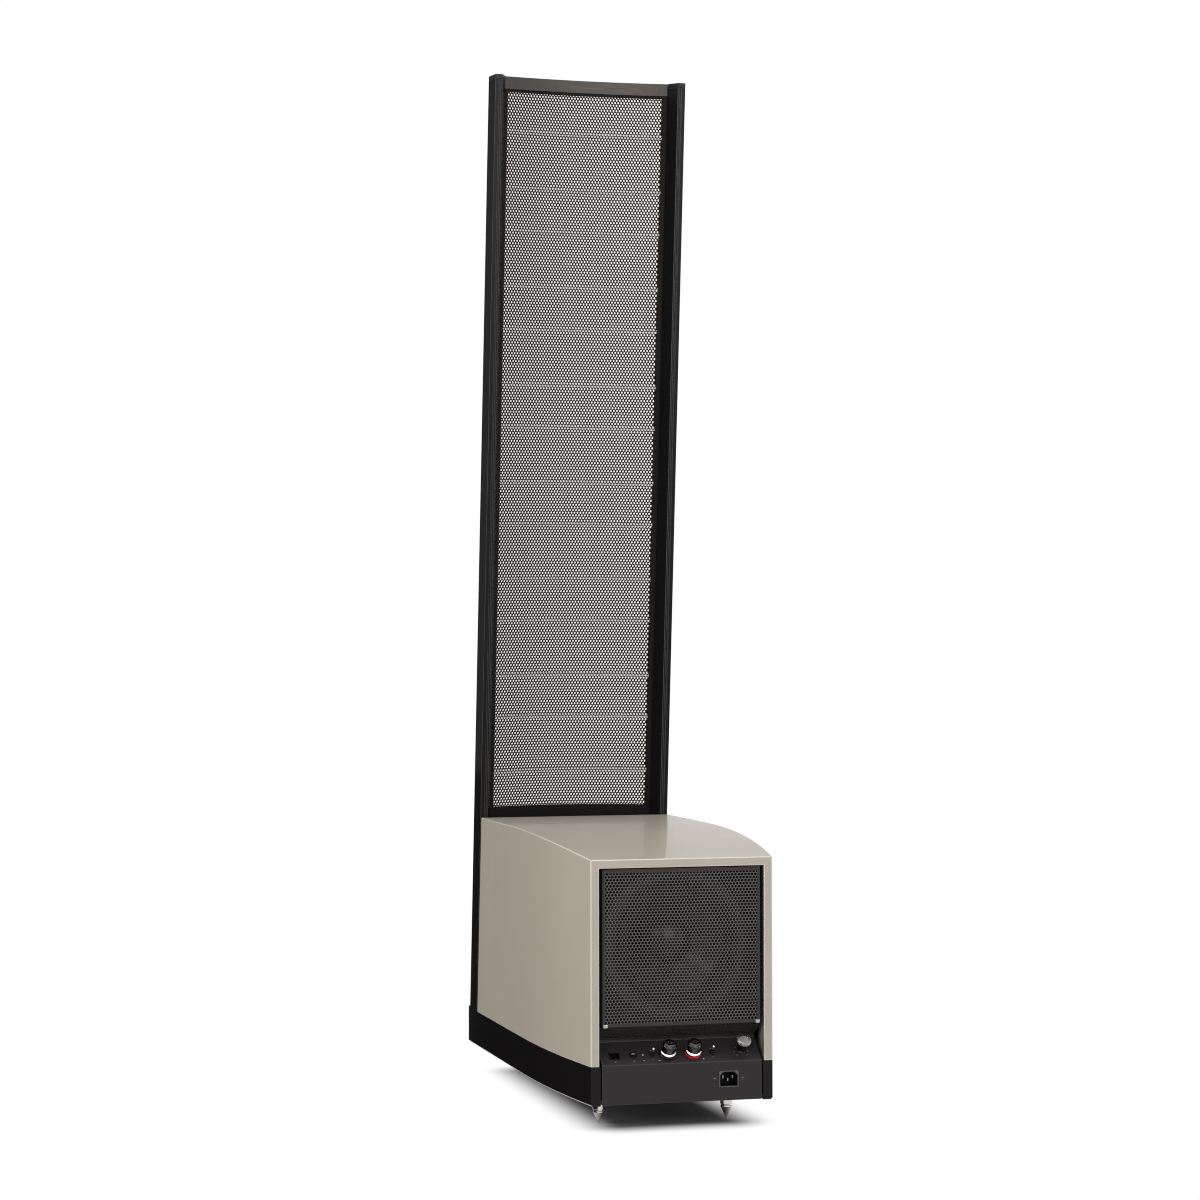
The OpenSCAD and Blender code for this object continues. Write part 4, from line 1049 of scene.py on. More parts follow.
@dataclass
class RadiatingPanel:
    """The film between its perforated sheets, and the curved grille below them.

    Attributes:
        shop: The workshop.
        pitch: Distance between holes in a row.
        hole: Diameter of the holes.
        lead: How far the front sheet's holes are moved round the arc.
        drift: How far the front sheet's rows are moved up at the foot and at the top.
        columns: Number of holes in a row.
        stretches: Number of rows in each stretch of a sheet.
        rim: Height of the plain strip at a sheet's foot and top.
        edge_gap: How far a sheet ends short of its slot.
        lift: How far a plain strip stands out of the perforated part.
        grille_foot: Foot of the low grille above the deck.
        grille_rows: Number of rows in the low grille.
        frame_w: Width of the strips behind the low grille.
        frame_gap: Gap between those strips and the low grille.
    """

    shop: Workshop
    pitch: float = PITCH
    hole: float = 3.6 * MM
    lead: float = -1.00 * MM
    drift: tuple[float, float] = (-0.70 * MM, 0.62 * MM)
    columns: int = 53
    stretches: tuple[int, ...] = (68, 68, 68, 66)
    rim: float = 3.2 * MM
    edge_gap: float = 0.1 * MM
    lift: float = 0.03 * MM
    grille_foot: float = 1.2 * MM
    grille_rows: int = 68
    frame_w: float = 0.015
    frame_gap: float = 0.1 * MM

    @property
    def row_pitch(self) -> float:
        """Distance between two rows."""
        return self.pitch * math.sqrt(3) / 2

    @property
    def half_arc(self) -> float:
        """Half of the length of arc that the holes take up."""
        return (self.columns / 2 - 0.25) * self.pitch

    def _strips(self, lo: float, hi: float,
                strips: Iterable[tuple[float, float, float, float, int]]) -> Form:
        """Curved strips round the panel's axis.

        Args:
            lo: Inner radius.
            hi: Outer radius.
            strips: First and last angle, foot and top of each strip, and its number of steps.

        Returns:
            The strips in one form.
        """
        s = self.shop.sizes
        form = Form()
        for a0, a1, b0, b1, steps in strips:
            loops = []
            for k in range(steps + 1):
                a = a0 + (a1 - a0) * k / steps
                loops.append([(r * math.sin(a), s.arc_u - r * math.cos(a), w)
                              for r, w in ((lo, b0), (hi, b0), (hi, b1), (lo, b1))])
            form.loft(loops, s.raked())
        return form

    def _border(self, name: str, r0: float, w0: float, w1: float, rim: float,
                finish: Finish) -> bpy.types.Object:
        """Plain border of a curved sheet: strips at the sides, the top and the foot.

        Args:
            name: Name of the piece.
            r0: Inner radius of the sheet.
            w0: Foot of the sheet along the rails.
            w1: Top of the sheet along the rails.
            rim: Height of the strips at the foot and at the top.
            finish: The border's finish.

        Returns:
            The piece.
        """
        s = self.shop.sizes
        lo, hi = r0 - self.lift, r0 + s.sheet_t + self.lift
        end = math.asin((s.edge_x - self.edge_gap) / hi)
        side = self.half_arc / r0
        form = self._strips(lo, hi, ((side, end, w0, w1, 4), (-end, -side, w0, w1, 4),
                                     (-side, side, w0, w0 + rim, 48), (-side, side, w1 - rim, w1, 48)))
        return form.object(name, self.shop.paints.get(finish))

    def _holes(self, name: str, r0: float, w0: float, rows: int, shift: float, sides: int,
               finish: Finish, drift: tuple[float, float] = (0.0, 0.0)) -> bpy.types.Object:
        """A stretch of the perforated part of a curved sheet.

        Args:
            name: Name of the piece.
            r0: Inner radius of the sheet.
            w0: Height of the first row along the rails.
            rows: Number of rows.
            shift: How far the holes are moved round the arc.
            sides: Number of sides of a hole.
            finish: The sheet's finish.
            drift: How far the rows are moved up at the panel's foot and at its top.

        Returns:
            The piece.
        """
        shop, s = self.shop, self.shop.sizes
        cell = shop.hole_cell(name, self.pitch, self.hole, sides, finish)
        low, rate = drift[0], (drift[1] - drift[0]) / s.panel_h
        spot = Matrix.Translation((0, s.arc_u, w0 + low + rate * (w0 - s.panel_foot)))
        move = s.raked() @ spot @ Matrix.Scale(1 + rate, 4, (0, 0, 1))
        return shop.nodes.run(shop.nodes.sheet, cell, move, Columns=self.columns, Rows=rows,
                              Pitch=self.pitch, Thickness=s.sheet_t, Inner_Radius=r0, Shift=shift)

    def _sheet(self, name: str, node: str, r0: float, shift: float,
               drift: tuple[float, float] = (0.0, 0.0)) -> None:
        """A whole perforated sheet, in stretches.

        Args:
            name: Name that its pieces start with.
            node: CAD node that it stands for.
            r0: Inner radius of the sheet.
            shift: How far the holes are moved round the arc.
            drift: How far the rows are moved up at the panel's foot and at its top.
        """
        shop, s = self.shop, self.shop.sizes
        first = (s.panel_h - (sum(self.stretches) - 1) * self.row_pitch) / 2
        w = s.panel_foot + first
        for k, rows in enumerate(self.stretches):
            piece = self._holes(f"{name}_holes_{k + 1}", r0, w, rows, shift, 8, SHEET_DARK, drift)
            shop.add(piece, replaces=[node], slot="perforated_sheet")
            w += rows * self.row_pitch
        # The border is blacker than the holes: partly its own black, partly painted shadow under the
        # crossbars.
        border = self._border(f"{name}_border", r0, s.panel_foot, s.panel_top, self.rim, BORDER_BLACK_AND_PAINTED_SHADE)
        shop.add(border, replaces=[node], slot="perforated_sheet")

    def _low_grille(self) -> None:
        """The curved grille in front of the front driver, with the frame behind it."""
        shop, s = self.shop, self.shop.sizes
        r0 = s.arc_r + s.stack_half - s.sheet_t
        top, foot, rows = s.panel_foot - s.bar_h, self.grille_foot, self.grille_rows
        start = (foot + top - (rows - 1) * self.row_pitch) / 2
        for k in (0, 1):
            piece = self._holes(f"low_grille_holes_{k + 1}", r0, start + k * (rows // 2) * self.row_pitch,
                                rows // 2, 0.0, 10, GRILLE_DARK)
            shop.add(piece, replaces=["front_grille"], slot="perforated_sheet")
        rim = (top - foot - rows * self.row_pitch) / 2 + 2 * MM
        border = self._border("low_grille_border", r0, foot, top, rim, GRILLE_DARK)
        shop.add(border, replaces=["front_grille"], slot="perforated_sheet")
        r_in, r_out = s.arc_r - s.stack_half, r0 - self.frame_gap
        end = math.asin((s.edge_x - self.edge_gap) / r_out)
        side = end - self.frame_w / r_in
        form = self._strips(r_in, r_out, ((side, end, foot, top, 4), (-end, -side, foot, top, 4),
                                          (-side, side, foot, foot + self.frame_w, 40),
                                          (-side, side, top - self.frame_w, top, 40)))
        shop.add(form.object("low_grille_frame", shop.paints.get(SPACER_BLACK)), replaces=["front_grille"],
                 slot="perforated_sheet")

    def build(self) -> None:
        """Builds the panel."""
        s = self.shop.sizes
        self._sheet("rear_sheet", "rear_stator", s.arc_r - s.stack_half, 0.0)
        self._sheet("front_sheet", "front_stator", s.arc_r + s.stack_half - s.sheet_t, self.lead,
                    self.drift)
        self._low_grille()
        self.shop.paint_cad(FILM_CLEAR, "diaphragm")
        self.shop.paint_cad(SPACER_BLACK, "edge_insulators")
        # The spars are given a painted glow.
        self.shop.paint_cad(SPAR_PAINTED_GLOW, "spars")


@dataclass
class Cabinet:
    """The lacquered shell, its inner boards and the rear grille.

    Attributes:
        shop: The workshop.
        stations: Number of steps from the shell's front to its rear.
        rounding: Width of the shell's rounded edges.
        side_gap: Gap between the rear grille and the shell's sides.
        top_gap: Gap between the rear grille and the shell's top.
        hole: Diameter of the rear grille's holes.
        sheet_t: Thickness of the perforated part.
        edge_t: Thickness of the plain edges.
        flat_r: Radius so large that the bent sheet is flat.
        hem: Height of the plain strips at the fold's foot and top.
        lift: How far the plain edges stand out of the perforated part.
        back_gap: Gap between the rear grille and the baffle.
    """

    shop: Workshop
    stations: int = 56
    rounding: float = 1.2 * MM
    side_gap: float = 5.4 * MM
    top_gap: float = 1.5 * MM
    hole: float = 4.0 * MM
    sheet_t: float = 1.0 * MM
    edge_t: float = 1.5 * MM
    flat_r: float = 1000.0
    hem: float = 2.6 * MM
    lift: float = 0.03 * MM
    back_gap: float = 0.4 * MM

    def _corner(self, t: float, inset: float, upper: bool) -> Point:
        """A corner of the shell's section, on the right-hand side, t of the way from front to rear."""
        s = self.shop.sizes
        z = s.seam_z
        y = s.y_rear
        for _ in range(4):
            y = s.shell_front(z) * (1 - t) + s.y_rear * t
            z = s.top_at(y, inset) if upper else s.seam_z
        return (s.half_at(y, inset), y, z)

    def _shell(self) -> Form:
        """Top and sides in one, its rounded edges given a lighter lacquer as a painted highlight."""
        s = self.shop.sizes
        loops = []
        for k in range(self.stations + 1):
            t = k / self.stations
            outer = [self._corner(t, 0, upper) for upper in (False, True)]
            inner = [self._corner(t, s.shell_wall, upper) for upper in (True, False)]
            other = [(-x, y, z) for x, y, z in (*reversed(outer), *reversed(inner))]
            loops.append([*outer, *other, *inner])
        form = Form()
        form.loft(loops)
        # The rounding takes material 1, the lighter lacquer: a painted highlight along the shell's edges.
        form.round_edges(self.rounding, 3, 40, 1)
        return form

    def _perforated(self, name: str, place: Matrix, columns: int, rows: int, finish: Finish) -> None:
        """A flat perforated part of the rear grille.

        Args:
            name: Name of the piece.
            place: Where its first row stands, facing the rear.
            columns: Number of holes in a row.
            rows: Number of rows.
            finish: Its finish.
        """
        shop = self.shop
        cell = shop.hole_cell(name, PITCH, self.hole, 10, finish)
        facing = Matrix(((-1, 0, 0, 0), (0, -1, 0, 0), (0, 0, 1, 0), (0, 0, 0, 1)))
        piece = shop.nodes.run(shop.nodes.sheet, cell, place @ facing, Columns=columns, Rows=rows,
                               Pitch=PITCH, Thickness=self.sheet_t, Inner_Radius=self.flat_r)
        shop.add(piece, replaces=["rear_grille"], slot="perforated_sheet")

    def _grille(self) -> None:
        """The rear grille: its perforated face and fold, and its plain edges."""
        shop, s, t, e = self.shop, self.shop.sizes, self.edge_t, self.lift
        y = s.y_rear - s.grille_y_in
        x1 = s.half_at(y) - s.shell_wall - self.side_gap
        z1 = s.top_at(y, s.shell_wall) - self.top_gap
        row_pitch = PITCH * math.sqrt(3) / 2
        rows = 2 * int((z1 - s.fold_z - 4 * MM) / row_pitch / 2)
        cols = int((2 * x1 - 4.2 * MM) / PITCH)
        start = (s.fold_z + z1 - (rows - 1) * row_pitch) / 2
        self._perforated("rear_grille_holes", Matrix.Translation((0, y - self.sheet_t - self.flat_r, start)),
                         cols, rows, GRILLE_DARK)
        fold_y = s.y_rear - s.slope_l * math.cos(math.radians(s.slope)) + 1.5 * MM
        fold_z = s.bend_z + s.slope_l * math.sin(math.radians(s.slope)) + 4 * MM
        lean = math.atan2(y - fold_y, s.fold_z - fold_z)
        length = math.hypot(y - fold_y, s.fold_z - fold_z)
        fold_rows = int((length - 4 * MM) / row_pitch)
        slab = Matrix.Translation((0, y - 0.5 * MM, s.fold_z)) @ Matrix.Rotation(-lean, 4, "X")
        first = -length + (length - (fold_rows - 1) * row_pitch) / 2
        # The fold, which faces down, takes the darker copy of the grille's metal: painted shade.
        self._perforated("rear_fold_holes",
                         slab @ Matrix.Translation((0, -self.sheet_t - self.flat_r, first)),
                         cols, fold_rows, GRILLE_PAINTED_SHADE)
        half = cols * PITCH / 2 - 0.6 * MM
        low, high = start - 0.75 * PITCH / 2, start + (rows - 0.25) * row_pitch - PITCH / 2
        back = s.baffle_y + self.back_gap
        form = Form()
        for lo, hi in (((-x1, back, s.fold_z), (-x1 + t, y, z1)), ((x1 - t, back, s.fold_z), (x1, y, z1)),
                       ((-x1 + t, back, z1 - t), (x1 - t, y, z1)),
                       ((-x1 + t, y - t - e, s.fold_z), (-half, y + e, z1 - t)),
                       ((half, y - t - e, s.fold_z), (x1 - t, y + e, z1 - t)),
                       ((-half, y - t - e, high), (half, y + e, z1 - t)),
                       ((-half, y - t - e, s.fold_z), (half, y + e, low))):
            form.box(lo, hi)
        for lo, hi in (((-x1, -t - e, -length), (-half, e, 0)), ((half, -t - e, -length), (x1, e, 0)),
                       ((-half, -t - e, -length), (half, e, -length + self.hem)),
                       ((-half, -t - e, -self.hem), (half, e, 0))):
            form.box(lo, hi, slab)
        form.round_edges(0.3 * MM, 1, 60)
        # The plain edges and the returns into the cabinet take the darker copy too: painted shade.
        shop.add(form.object("rear_grille_edges", shop.paints.get(GRILLE_PAINTED_SHADE)), replaces=["rear_grille"],
                 slot="perforated_sheet")
        self._clips(x1 - 4 * MM, y)

    def _clips(self, x_at: float, y: float) -> None:
        """The bright clips at the grille's lower corners.

        Args:
            x_at: Distance of a clip's middle from the speaker's middle.
            y: The grille's rear face.
        """
        shop, fold_z = self.shop, self.shop.sizes.fold_z
        clips = Form()
        for side in (-1, 1):
            x = side * x_at
            clips.box((x - 3 * MM, y + 0.05 * MM, fold_z - 0.6 * MM),
                      (x + 3 * MM, y + 0.9 * MM, fold_z + 3.6 * MM))
        clips.round_edges(0.3 * MM, 2, 40)
        shop.add(clips.object("grille_corner_clips", shop.paints.get(KNOB_SILVER)), replaces=["grille_clips"],
                 slot="bright_clip")

    def build(self) -> None:
        """Builds the cabinet."""
        shop = self.shop
        shell = self._shell().object("shell", shop.paints.get(LACQUER), 30,
                                     edge=shop.paints.get(LACQUER_PAINTED_HIGHLIGHT))
        shop.add(shell, replaces=["cabinet_shell"], slot="gloss_lacquer")
        self._grille()
        shop.paint_cad(BOARD_BLACK, "front_baffle", "rear_baffle", "amp_bay_cover")
        shop.paint_cad(BOARD_RAW, "chamber_divider", "cabinet_floor")


@dataclass
class Plinth:
    """The black plinth, and the spikes that it stands on.

    Attributes:
        shop: The workshop.
        wall: Thickness of the skirt.
        chamfer: Width of the skirt's chamfered foot.
        rounding: Width of its rounded edges.
        deck_t: Thickness of the front deck.
        deck_gap: Gap between the deck and the skirt.
        spike_x: Distance of the spikes from the middle.
        spike_rows: Name of each pair of spikes, and its distance from the plinth's front.
        collar_z: Top of a spike's collar.
        stud: Root radius and crest radius of a spike's thread.
        thread_pitch: Distance between two ridges of the thread.
        ridges: Number of ridges.
    """

    shop: Workshop
    wall: float = 14 * MM
    chamfer: float = 2.5 * MM
    rounding: float = 0.6 * MM
    deck_t: float = 14 * MM
    deck_gap: float = 0.2 * MM
    spike_x: float = 0.093
    spike_rows: tuple[tuple[str, float], ...] = (("front", 0.101), ("rear", 0.577))
    collar_z: float = 40.7
    stud: tuple[float, float] = (4.6, 4.95)
    thread_pitch: float = 1.05
    ridges: int = 18

    def _section(self, outer: Flat, inner: Flat, foot: Flat, top: float) -> list[Point]:
        """Section of the skirt at one place of its path.

        Args:
            outer: Place of its outer face.
            inner: Place of its inner face.
            foot: Place of its foot's outer edge.
            top: Height of its top.

        Returns:
            The section's corners.
        """
        low = self.shop.sizes.spike_z
        return [(*foot, low), (*outer, low + self.chamfer), (*outer, top), (*inner, top), (*inner, low)]

    def _skirt(self) -> Form:
        """Side walls and front, open at the rear, with a chamfered foot painted lighter as a highlight."""
        s, wall, chamfer = self.shop.sizes, self.wall, self.chamfer
        step_y = s.shell_front(s.seam_z)
        taper = s.y_front + s.straight
        ys = [s.y_rear + (taper - s.y_rear) * k / 24 for k in range(25)]
        ys += [step_y + 0.05 * MM, step_y - 0.05 * MM]
        path = [(y, s.deck_z if y < step_y else s.seam_z) for y in ys]
        loops = [self._section((s.half_at(y), y), (s.half_at(y, wall), y), (s.half_at(y, chamfer), y), top)
                 for y, top in path]
        for side in (1, -1):
            outer, inner, foot = ((side * (s.half - d), s.y_front + d) for d in (0.0, wall, chamfer))
            loops.append(self._section(outer, inner, foot, s.deck_z))
        loops += [[(-x, y, z) for x, y, z in row] for row in reversed(loops[: len(path)])]
        form = Form()
        form.loft(loops)
        form.round_edges(self.rounding, 2, 40)
        # Faces of the chamfered foot take material 1, the light grey: a painted highlight.
        form.bm.normal_update()
        for face in form.bm.faces:
            if -0.85 < face.normal.z < -0.5 and face.calc_center_median().z < s.spike_z + chamfer:
                face.material_index = 1
        return form

    def _deck(self) -> Form:
        """Front deck that the rails stand on."""
        s = self.shop.sizes
        low, high = s.deck_z - self.deck_t, s.deck_z - 0.02 * MM
        x, y0 = s.half - self.wall - self.deck_gap, s.y_front + self.wall - self.deck_gap
        ring = [(y0, low), (s.shell_front(low) - 0.1 * MM, low), (s.shell_front(s.deck_z) - 0.1 * MM, high),
                (y0, high)]
        form = Form()
        form.loft([[(side, y, z) for y, z in ring] for side in (-x, x)])
        return form

    def _spike(self, x: float, y: float) -> Form:
        """A turned spike: point, neck, collar and threaded stud.

        Args:
            x: Place across.
            y: Place along the depth.

        Returns:
            The spike.
        """
        form = Form()
        root, crest = self.stud
        thread = []
        for k in range(self.ridges):
            z = self.collar_z + 0.6 + k * self.thread_pitch
            thread += [(root, z), (crest, z + 0.4), (crest, z + 0.55), (root, z + 0.95)]
        profile = [(0, 0), (0.7, 0), (1.0, 0.25), (7.8, 15.4), (8.1, 15.9), (8.1, 17.2), (7.2, 17.9),
                   (7.2, 19.0), (8.2, 19.7), (8.4, 20.1), (8.4, self.collar_z - 0.6), (8.6, self.collar_z),
                   (root, self.collar_z), *thread, (4.2, 60.4), (0, 60.4)]
        form.lathe(profile, Matrix.Translation((x, y, 0)) @ Matrix.Scale(MM, 4), 64)
        return form

    def build(self) -> None:
        """Builds the plinth."""
        shop, s = self.shop, self.shop.sizes
        black = shop.paints.get(PLINTH_BLACK)
        skirt = self._skirt().object("plinth", black, edge=shop.paints.get(PLINTH_PAINTED_HIGHLIGHT))
        shop.add(skirt, replaces=["plinth_skirt"], slot="satin_black_board")
        shop.add(self._deck().object("plinth_deck", black), replaces=["plinth_skirt"],
                 slot="satin_black_board")
        for part, y in self.spike_rows:
            for side in Turn:
                name = f"spike_{part}_{side.name.lower()}"
                spike = self._spike(side.value * self.spike_x, s.y_front + y)
                shop.add(spike.object(f"{name}_turned", shop.paints.get(STEEL_BRIGHT), 28), name, [name],
                         "spike_steel")
        shop.paint_cad(PLATE_DARK, "base_plate")
        shop.paint_cad(BRASS, "spike_inserts")


@dataclass
class Driver:
    """A bass driver: its cone, surround and spider are drawn smooth, the rest is the CAD's own.

    Its own sizes are in millimetres, from the mounting face, with Z along its axis.

    Attributes:
        shop: The workshop.
        name: The driver's name.
        spot: Where its mounting face stands.
        cone_r: Outer radius of the cone.
        neck_r: Inner radius of the cone.
        cone_top: Height of the cone's rim.
        cone_foot: Height of the cone's neck.
        lip: Height of the surround's foot.
        roll_r: Radius of the surround's roll.
        flange_r: Outer radius of the surround.
        spider: Inner radius, radius at which its waves end, and outer radius of the spider.
        shelf: Height of the spider.
        waves: Number of the spider's waves, and half of their height.
        screw_circle: Radius of the circle of flange screws.
    """

    shop: Workshop
    name: str
    spot: Matrix
    cone_r: float = 71.5
    neck_r: float = 19.7
    cone_top: float = -3.3
    cone_foot: float = -33.3
    lip: float = -3.0
    roll_r: float = 6.0
    flange_r: float = 90.8
    spider: tuple[float, float, float] = (20.3, 50.0, 62.0)
    shelf: float = -42.0
    waves: tuple[int, float] = (4, 0.55)
    screw_circle: float = 99.0

    @property
    def place(self) -> Matrix:
        """Matrix from the driver's own millimetres to the row frame."""
        return self.spot @ Matrix.Scale(MM, 4)

    def _soft(self, form: Form, label: str, finish: Finish) -> None:
        """Adds a ring in place of its CAD node and bakes it where it stands.

        Args:
            form: The ring.
            label: What it is.
            finish: Its finish.
        """
        obj = form.object(f"{self.name}_{label}_ring", self.shop.paints.get(finish), 60, weigh=False)
        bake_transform(obj)
        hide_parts(f"{self.name}_{label}")
        log.info("piece %s blends to %s_driver", obj.name, self.name)

    def _cone(self) -> None:
        """The turned cone."""
        shop, name, r, top, foot = self.shop, self.name, self.cone_r, self.cone_top, self.cone_foot
        span = r - 1.5 - self.neck_r
        outer = [(self.neck_r + span * (k / 16), foot + (top - foot) * k / 16) for k in range(17)]
        cone = Form()
        cone.lathe([*outer, (r, top), (r, top - 1.5), (self.neck_r + 1.5, foot)], self.place, 96)
        shop.add(cone.object(f"{name}_cone_turned", shop.paints.get(CONE_DARK), 40), f"{name}_driver",
                 [f"{name}_cone"], "cone_metal")

    def _surround(self) -> None:
        """The rubber roll between the cone and the basket."""
        r, lip, roll = self.cone_r, self.lip, self.roll_r
        mid = r + roll + 0.5
        edge = arc_points(mid, lip, roll, 180, 0, 18)
        under = arc_points(mid, lip, roll - 1, 0, 180, 18)
        surround = Form()
        surround.lathe([(r - 3, lip), (r - 3, lip + 1), (mid - roll, lip + 1), *edge[3:-3],
                        (mid + roll, lip + 1), (self.flange_r, lip + 1), (self.flange_r, lip), *under],
                       self.place, 96)
        self._soft(surround, "surround", RUBBER)

    def _spider(self) -> None:
        """The waved cloth that centres the coil."""
        inner, calm, outer = self.spider
        count, lift = self.waves
        wave = [(inner + (calm - inner) * k / 48,
                 self.shelf + lift * (1 - math.cos(2 * math.pi * count * k / 48))) for k in range(49)]
        spider = Form()
        spider.lathe([*wave, (outer, self.shelf), (outer, self.shelf + 1),
                      *[(p, z + 1) for p, z in reversed(wave)]], self.place, 96)
        self._soft(spider, "spider", SPIDER_CLOTH)

    def build(self) -> None:
        """Builds the driver."""
        shop, name = self.shop, self.name
        self._cone()
        self._surround()
        self._spider()
        screw = Form()
        screw.lathe([(0, -0.3), (3.6, -0.3), (3.6, 0.2), (2.8, 0.9), (1.6, 1.0), (1.5, 0.4), (0, 0.4)],
                    Matrix.Translation((self.screw_circle, 0, 0)), 16)
        heads = screw.object(f"{name}_flange_screws", shop.paints.get(SCREW_BLACK), 30)
        shop.nodes.run(shop.nodes.round, heads, self.place, Count=8, First_Angle=math.radians(22.5))
        shop.add(heads, slot="screw_metal")
        shop.paint_cad(CAP_BLACK, f"{name}_basket")
        shop.paint_cad(STEEL_DARK, f"{name}_motor")
        shop.paint_cad(COPPER, f"{name}_coil")
        shop.paint_cad(CONE_DARK, f"{name}_dust_cap")


@dataclass
class ControlPanel:
    """The folded control panel with its terminals, knob, switches and sockets.

    Outlines of what stands on it are in millimetres, with Z square to the face that carries it.

    Attributes:
        shop: The workshop.
        half: Half of the panel's width.
        thick: Thickness of its sheet.
        bend: Radius of the bend between its faces.
        lip_z: Top of the lip behind the grille.
        terminals: Name, place across and finish of each terminal.
        toggles: Name and place across of each toggle.
        knob_x: Place of the level knob.
        socket_x: Place of the data socket.
        jack_x: Place of the small jack.
        light_x: Place of the status light.
        inlet: Place across and height of the mains inlet.
        screw_at: Distance of the inlet's screws from its middle.
    """

    shop: Workshop
    half: float = 0.11396
    thick: float = 2 * MM
    bend: float = 3 * MM
    lip_z: float = 0.141
    terminals: tuple[tuple[str, float, Finish], ...] = (("black", 0.018, PLASTIC_BLACK),
                                                        ("red", -0.018, PLASTIC_RED))
    toggles: tuple[tuple[str, float], ...] = (("a", 0.040), ("b", -0.046))
    knob_x: float = -0.08796
    socket_x: float = 0.09323
    jack_x: float = 0.067
    light_x: float = 0.053
    inlet: Flat = (-0.06636, 0.0695)
    screw_at: float = 0.020

    def _sheet(self) -> bpy.types.Object:
        """Folded sheet: upright face, bend, slope and the lip behind the grille."""
        s, t, bend = self.shop.sizes, self.thick, self.bend
        a, yr, zb = s.slope, s.y_rear, s.bend_z
        cosine, sine = math.cos(math.radians(a)), math.sin(math.radians(a))
        end_y, end_z = yr - s.slope_l * cosine, zb + s.slope_l * sine
        cy, cz = yr - bend, zb - bend * math.tan(math.radians((90 - a) / 2))
        foot = s.spike_z + 1 * MM
        outer = [(yr, foot), *arc_points(cy, cz, bend, 0, 90 - a, 8), (end_y, end_z)]
        inner = [(end_y - t * sine, end_z - t * cosine), *arc_points(cy, cz, bend - t, 90 - a, 0, 8),
                 (yr - t, foot)]
        near = s.baffle_y + 0.2 * MM
        lip = [(near + t, end_z), (near + t, self.lip_z), (near, self.lip_z), (near, end_z - t)]
        form = Form()
        form.loft([[(x, y, z) for y, z in outer + lip + inner] for x in (-self.half, self.half)])
        # The rounding takes material 1, the lighter charcoal: a painted highlight along the sheet's sharp
        # edges.
        form.round_edges(0.6 * MM, 2, 60, 1)
        obj = form.object("control_sheet", self.shop.paints.get(PANEL_CHARCOAL), 20, weigh=False,
                          edge=self.shop.paints.get(PANEL_PAINTED_HIGHLIGHT))
        x, z = self.inlet
        tool = Form()
        tool.box((x - 14.2 * MM, yr - 6 * MM, z - 11.45 * MM), (x + 14.2 * MM, yr + 4 * MM, z + 11.45 * MM))
        cut(obj, tool)
        tool = Form()
        tool.box((-7.7 * MM, -5.95 * MM, -6 * MM), (7.7 * MM, 5.95 * MM, 4 * MM), s.on_slope(self.socket_x))
        cut(obj, tool)
        holes = [(x, 5.2) for _, x, _ in self.terminals] + [(x, 3.2) for _, x in self.toggles]
        for x, r in (*holes, (self.knob_x, 4.0), (self.jack_x, 4.2), (self.light_x, 1.7)):
            tool = Form()
            tool.lathe([(0, -6), (r, -6), (r, 4), (0, 4)], s.on_slope(x) @ Matrix.Scale(MM, 4), 32)
            cut(obj, tool)
        obj.data.set_sharp_from_angle(angle=math.radians(20))
        return flatten(obj)

    def _turned(self, name: str, place: Matrix, profile: Sequence[Flat], finish: Finish, node: str, slot: str,
                body: str = ROOT_BODY, steps: int = 64, smooth: float = 32.0) -> None:
        """Adds a turned piece.

        Args:
            name: Name of the piece.
            place: Where it stands.
            profile: Its profile in millimetres, as Form.lathe takes it.
            finish: Its finish.
            node: CAD node that it stands for, or nothing.
            slot: The record's material slot.
            body: The CAD body that it moves with.
            steps: Number of steps round its axis.
            smooth: Largest angle that is shaded smooth, in degrees.
        """
        form = Form()
        form.lathe(profile, place @ Matrix.Scale(MM, 4), steps)
        obj = form.object(name, self.shop.paints.get(finish), smooth)
        self.shop.add(obj, body, [node] if node else (), slot)

    def _terminals(self) -> None:
        """Both terminals: coloured base, bright ring, clear cap and stud."""
        for name, x, finish in self.terminals:
            place = self.shop.sizes.on_slope(x)
            self._turned(f"{name}_terminal_base", place,
                         [(3.2, -5), (10, -5), (10, -2), (5, -2), (5, 0), (11.2, 0), (11.5, 0.3), (11.5, 3.0),
                          (11.2, 3.4), (10.6, 3.5), (3.2, 3.5)], finish, "terminal_bases", "terminal_black")
            self._turned(f"{name}_terminal_stud", place,
                         [(0, -16), (3, -16), (3, 3.5), (8, 3.5), (8, 4.7), (3, 4.7), (3, 18.6), (2.7, 19),
                          (2.1, 19), (2, 18.8), (2, 5), (0, 5)], BRASS, "terminal_studs", "terminal_metal",
                         steps=48)
            self._turned(f"{name}_terminal_ring", place,
                         [(3.35, 5.0), (10.3, 5.0), *arc_points(9.6, 7.25, 2.25, -72, 72, 12), (10.3, 9.5),
                          (3.35, 9.5)], CHROME, f"{name}_ring", "bright_ring", f"{name}_ring")
            self._turned(f"{name}_terminal_cap", place,
                         [(4.6, 9.8), (9.7, 9.8), (10, 10.1), *arc_points(6, 18, 4, 0, 90, 10), (3.0, 22),
                          (2.6, 21.6), (2.6, 20.2), (4.6, 20.0)], CAP_CLEAR, f"{name}_cap", "smoked_clear",
                         f"{name}_cap", 72)
            self._turned(f"{name}_terminal_core", place, [(3.1, 9.9), (4.5, 9.9), (4.5, 19.9), (3.1, 19.9)],
                         finish, "", "smoked_clear", f"{name}_cap", 48)

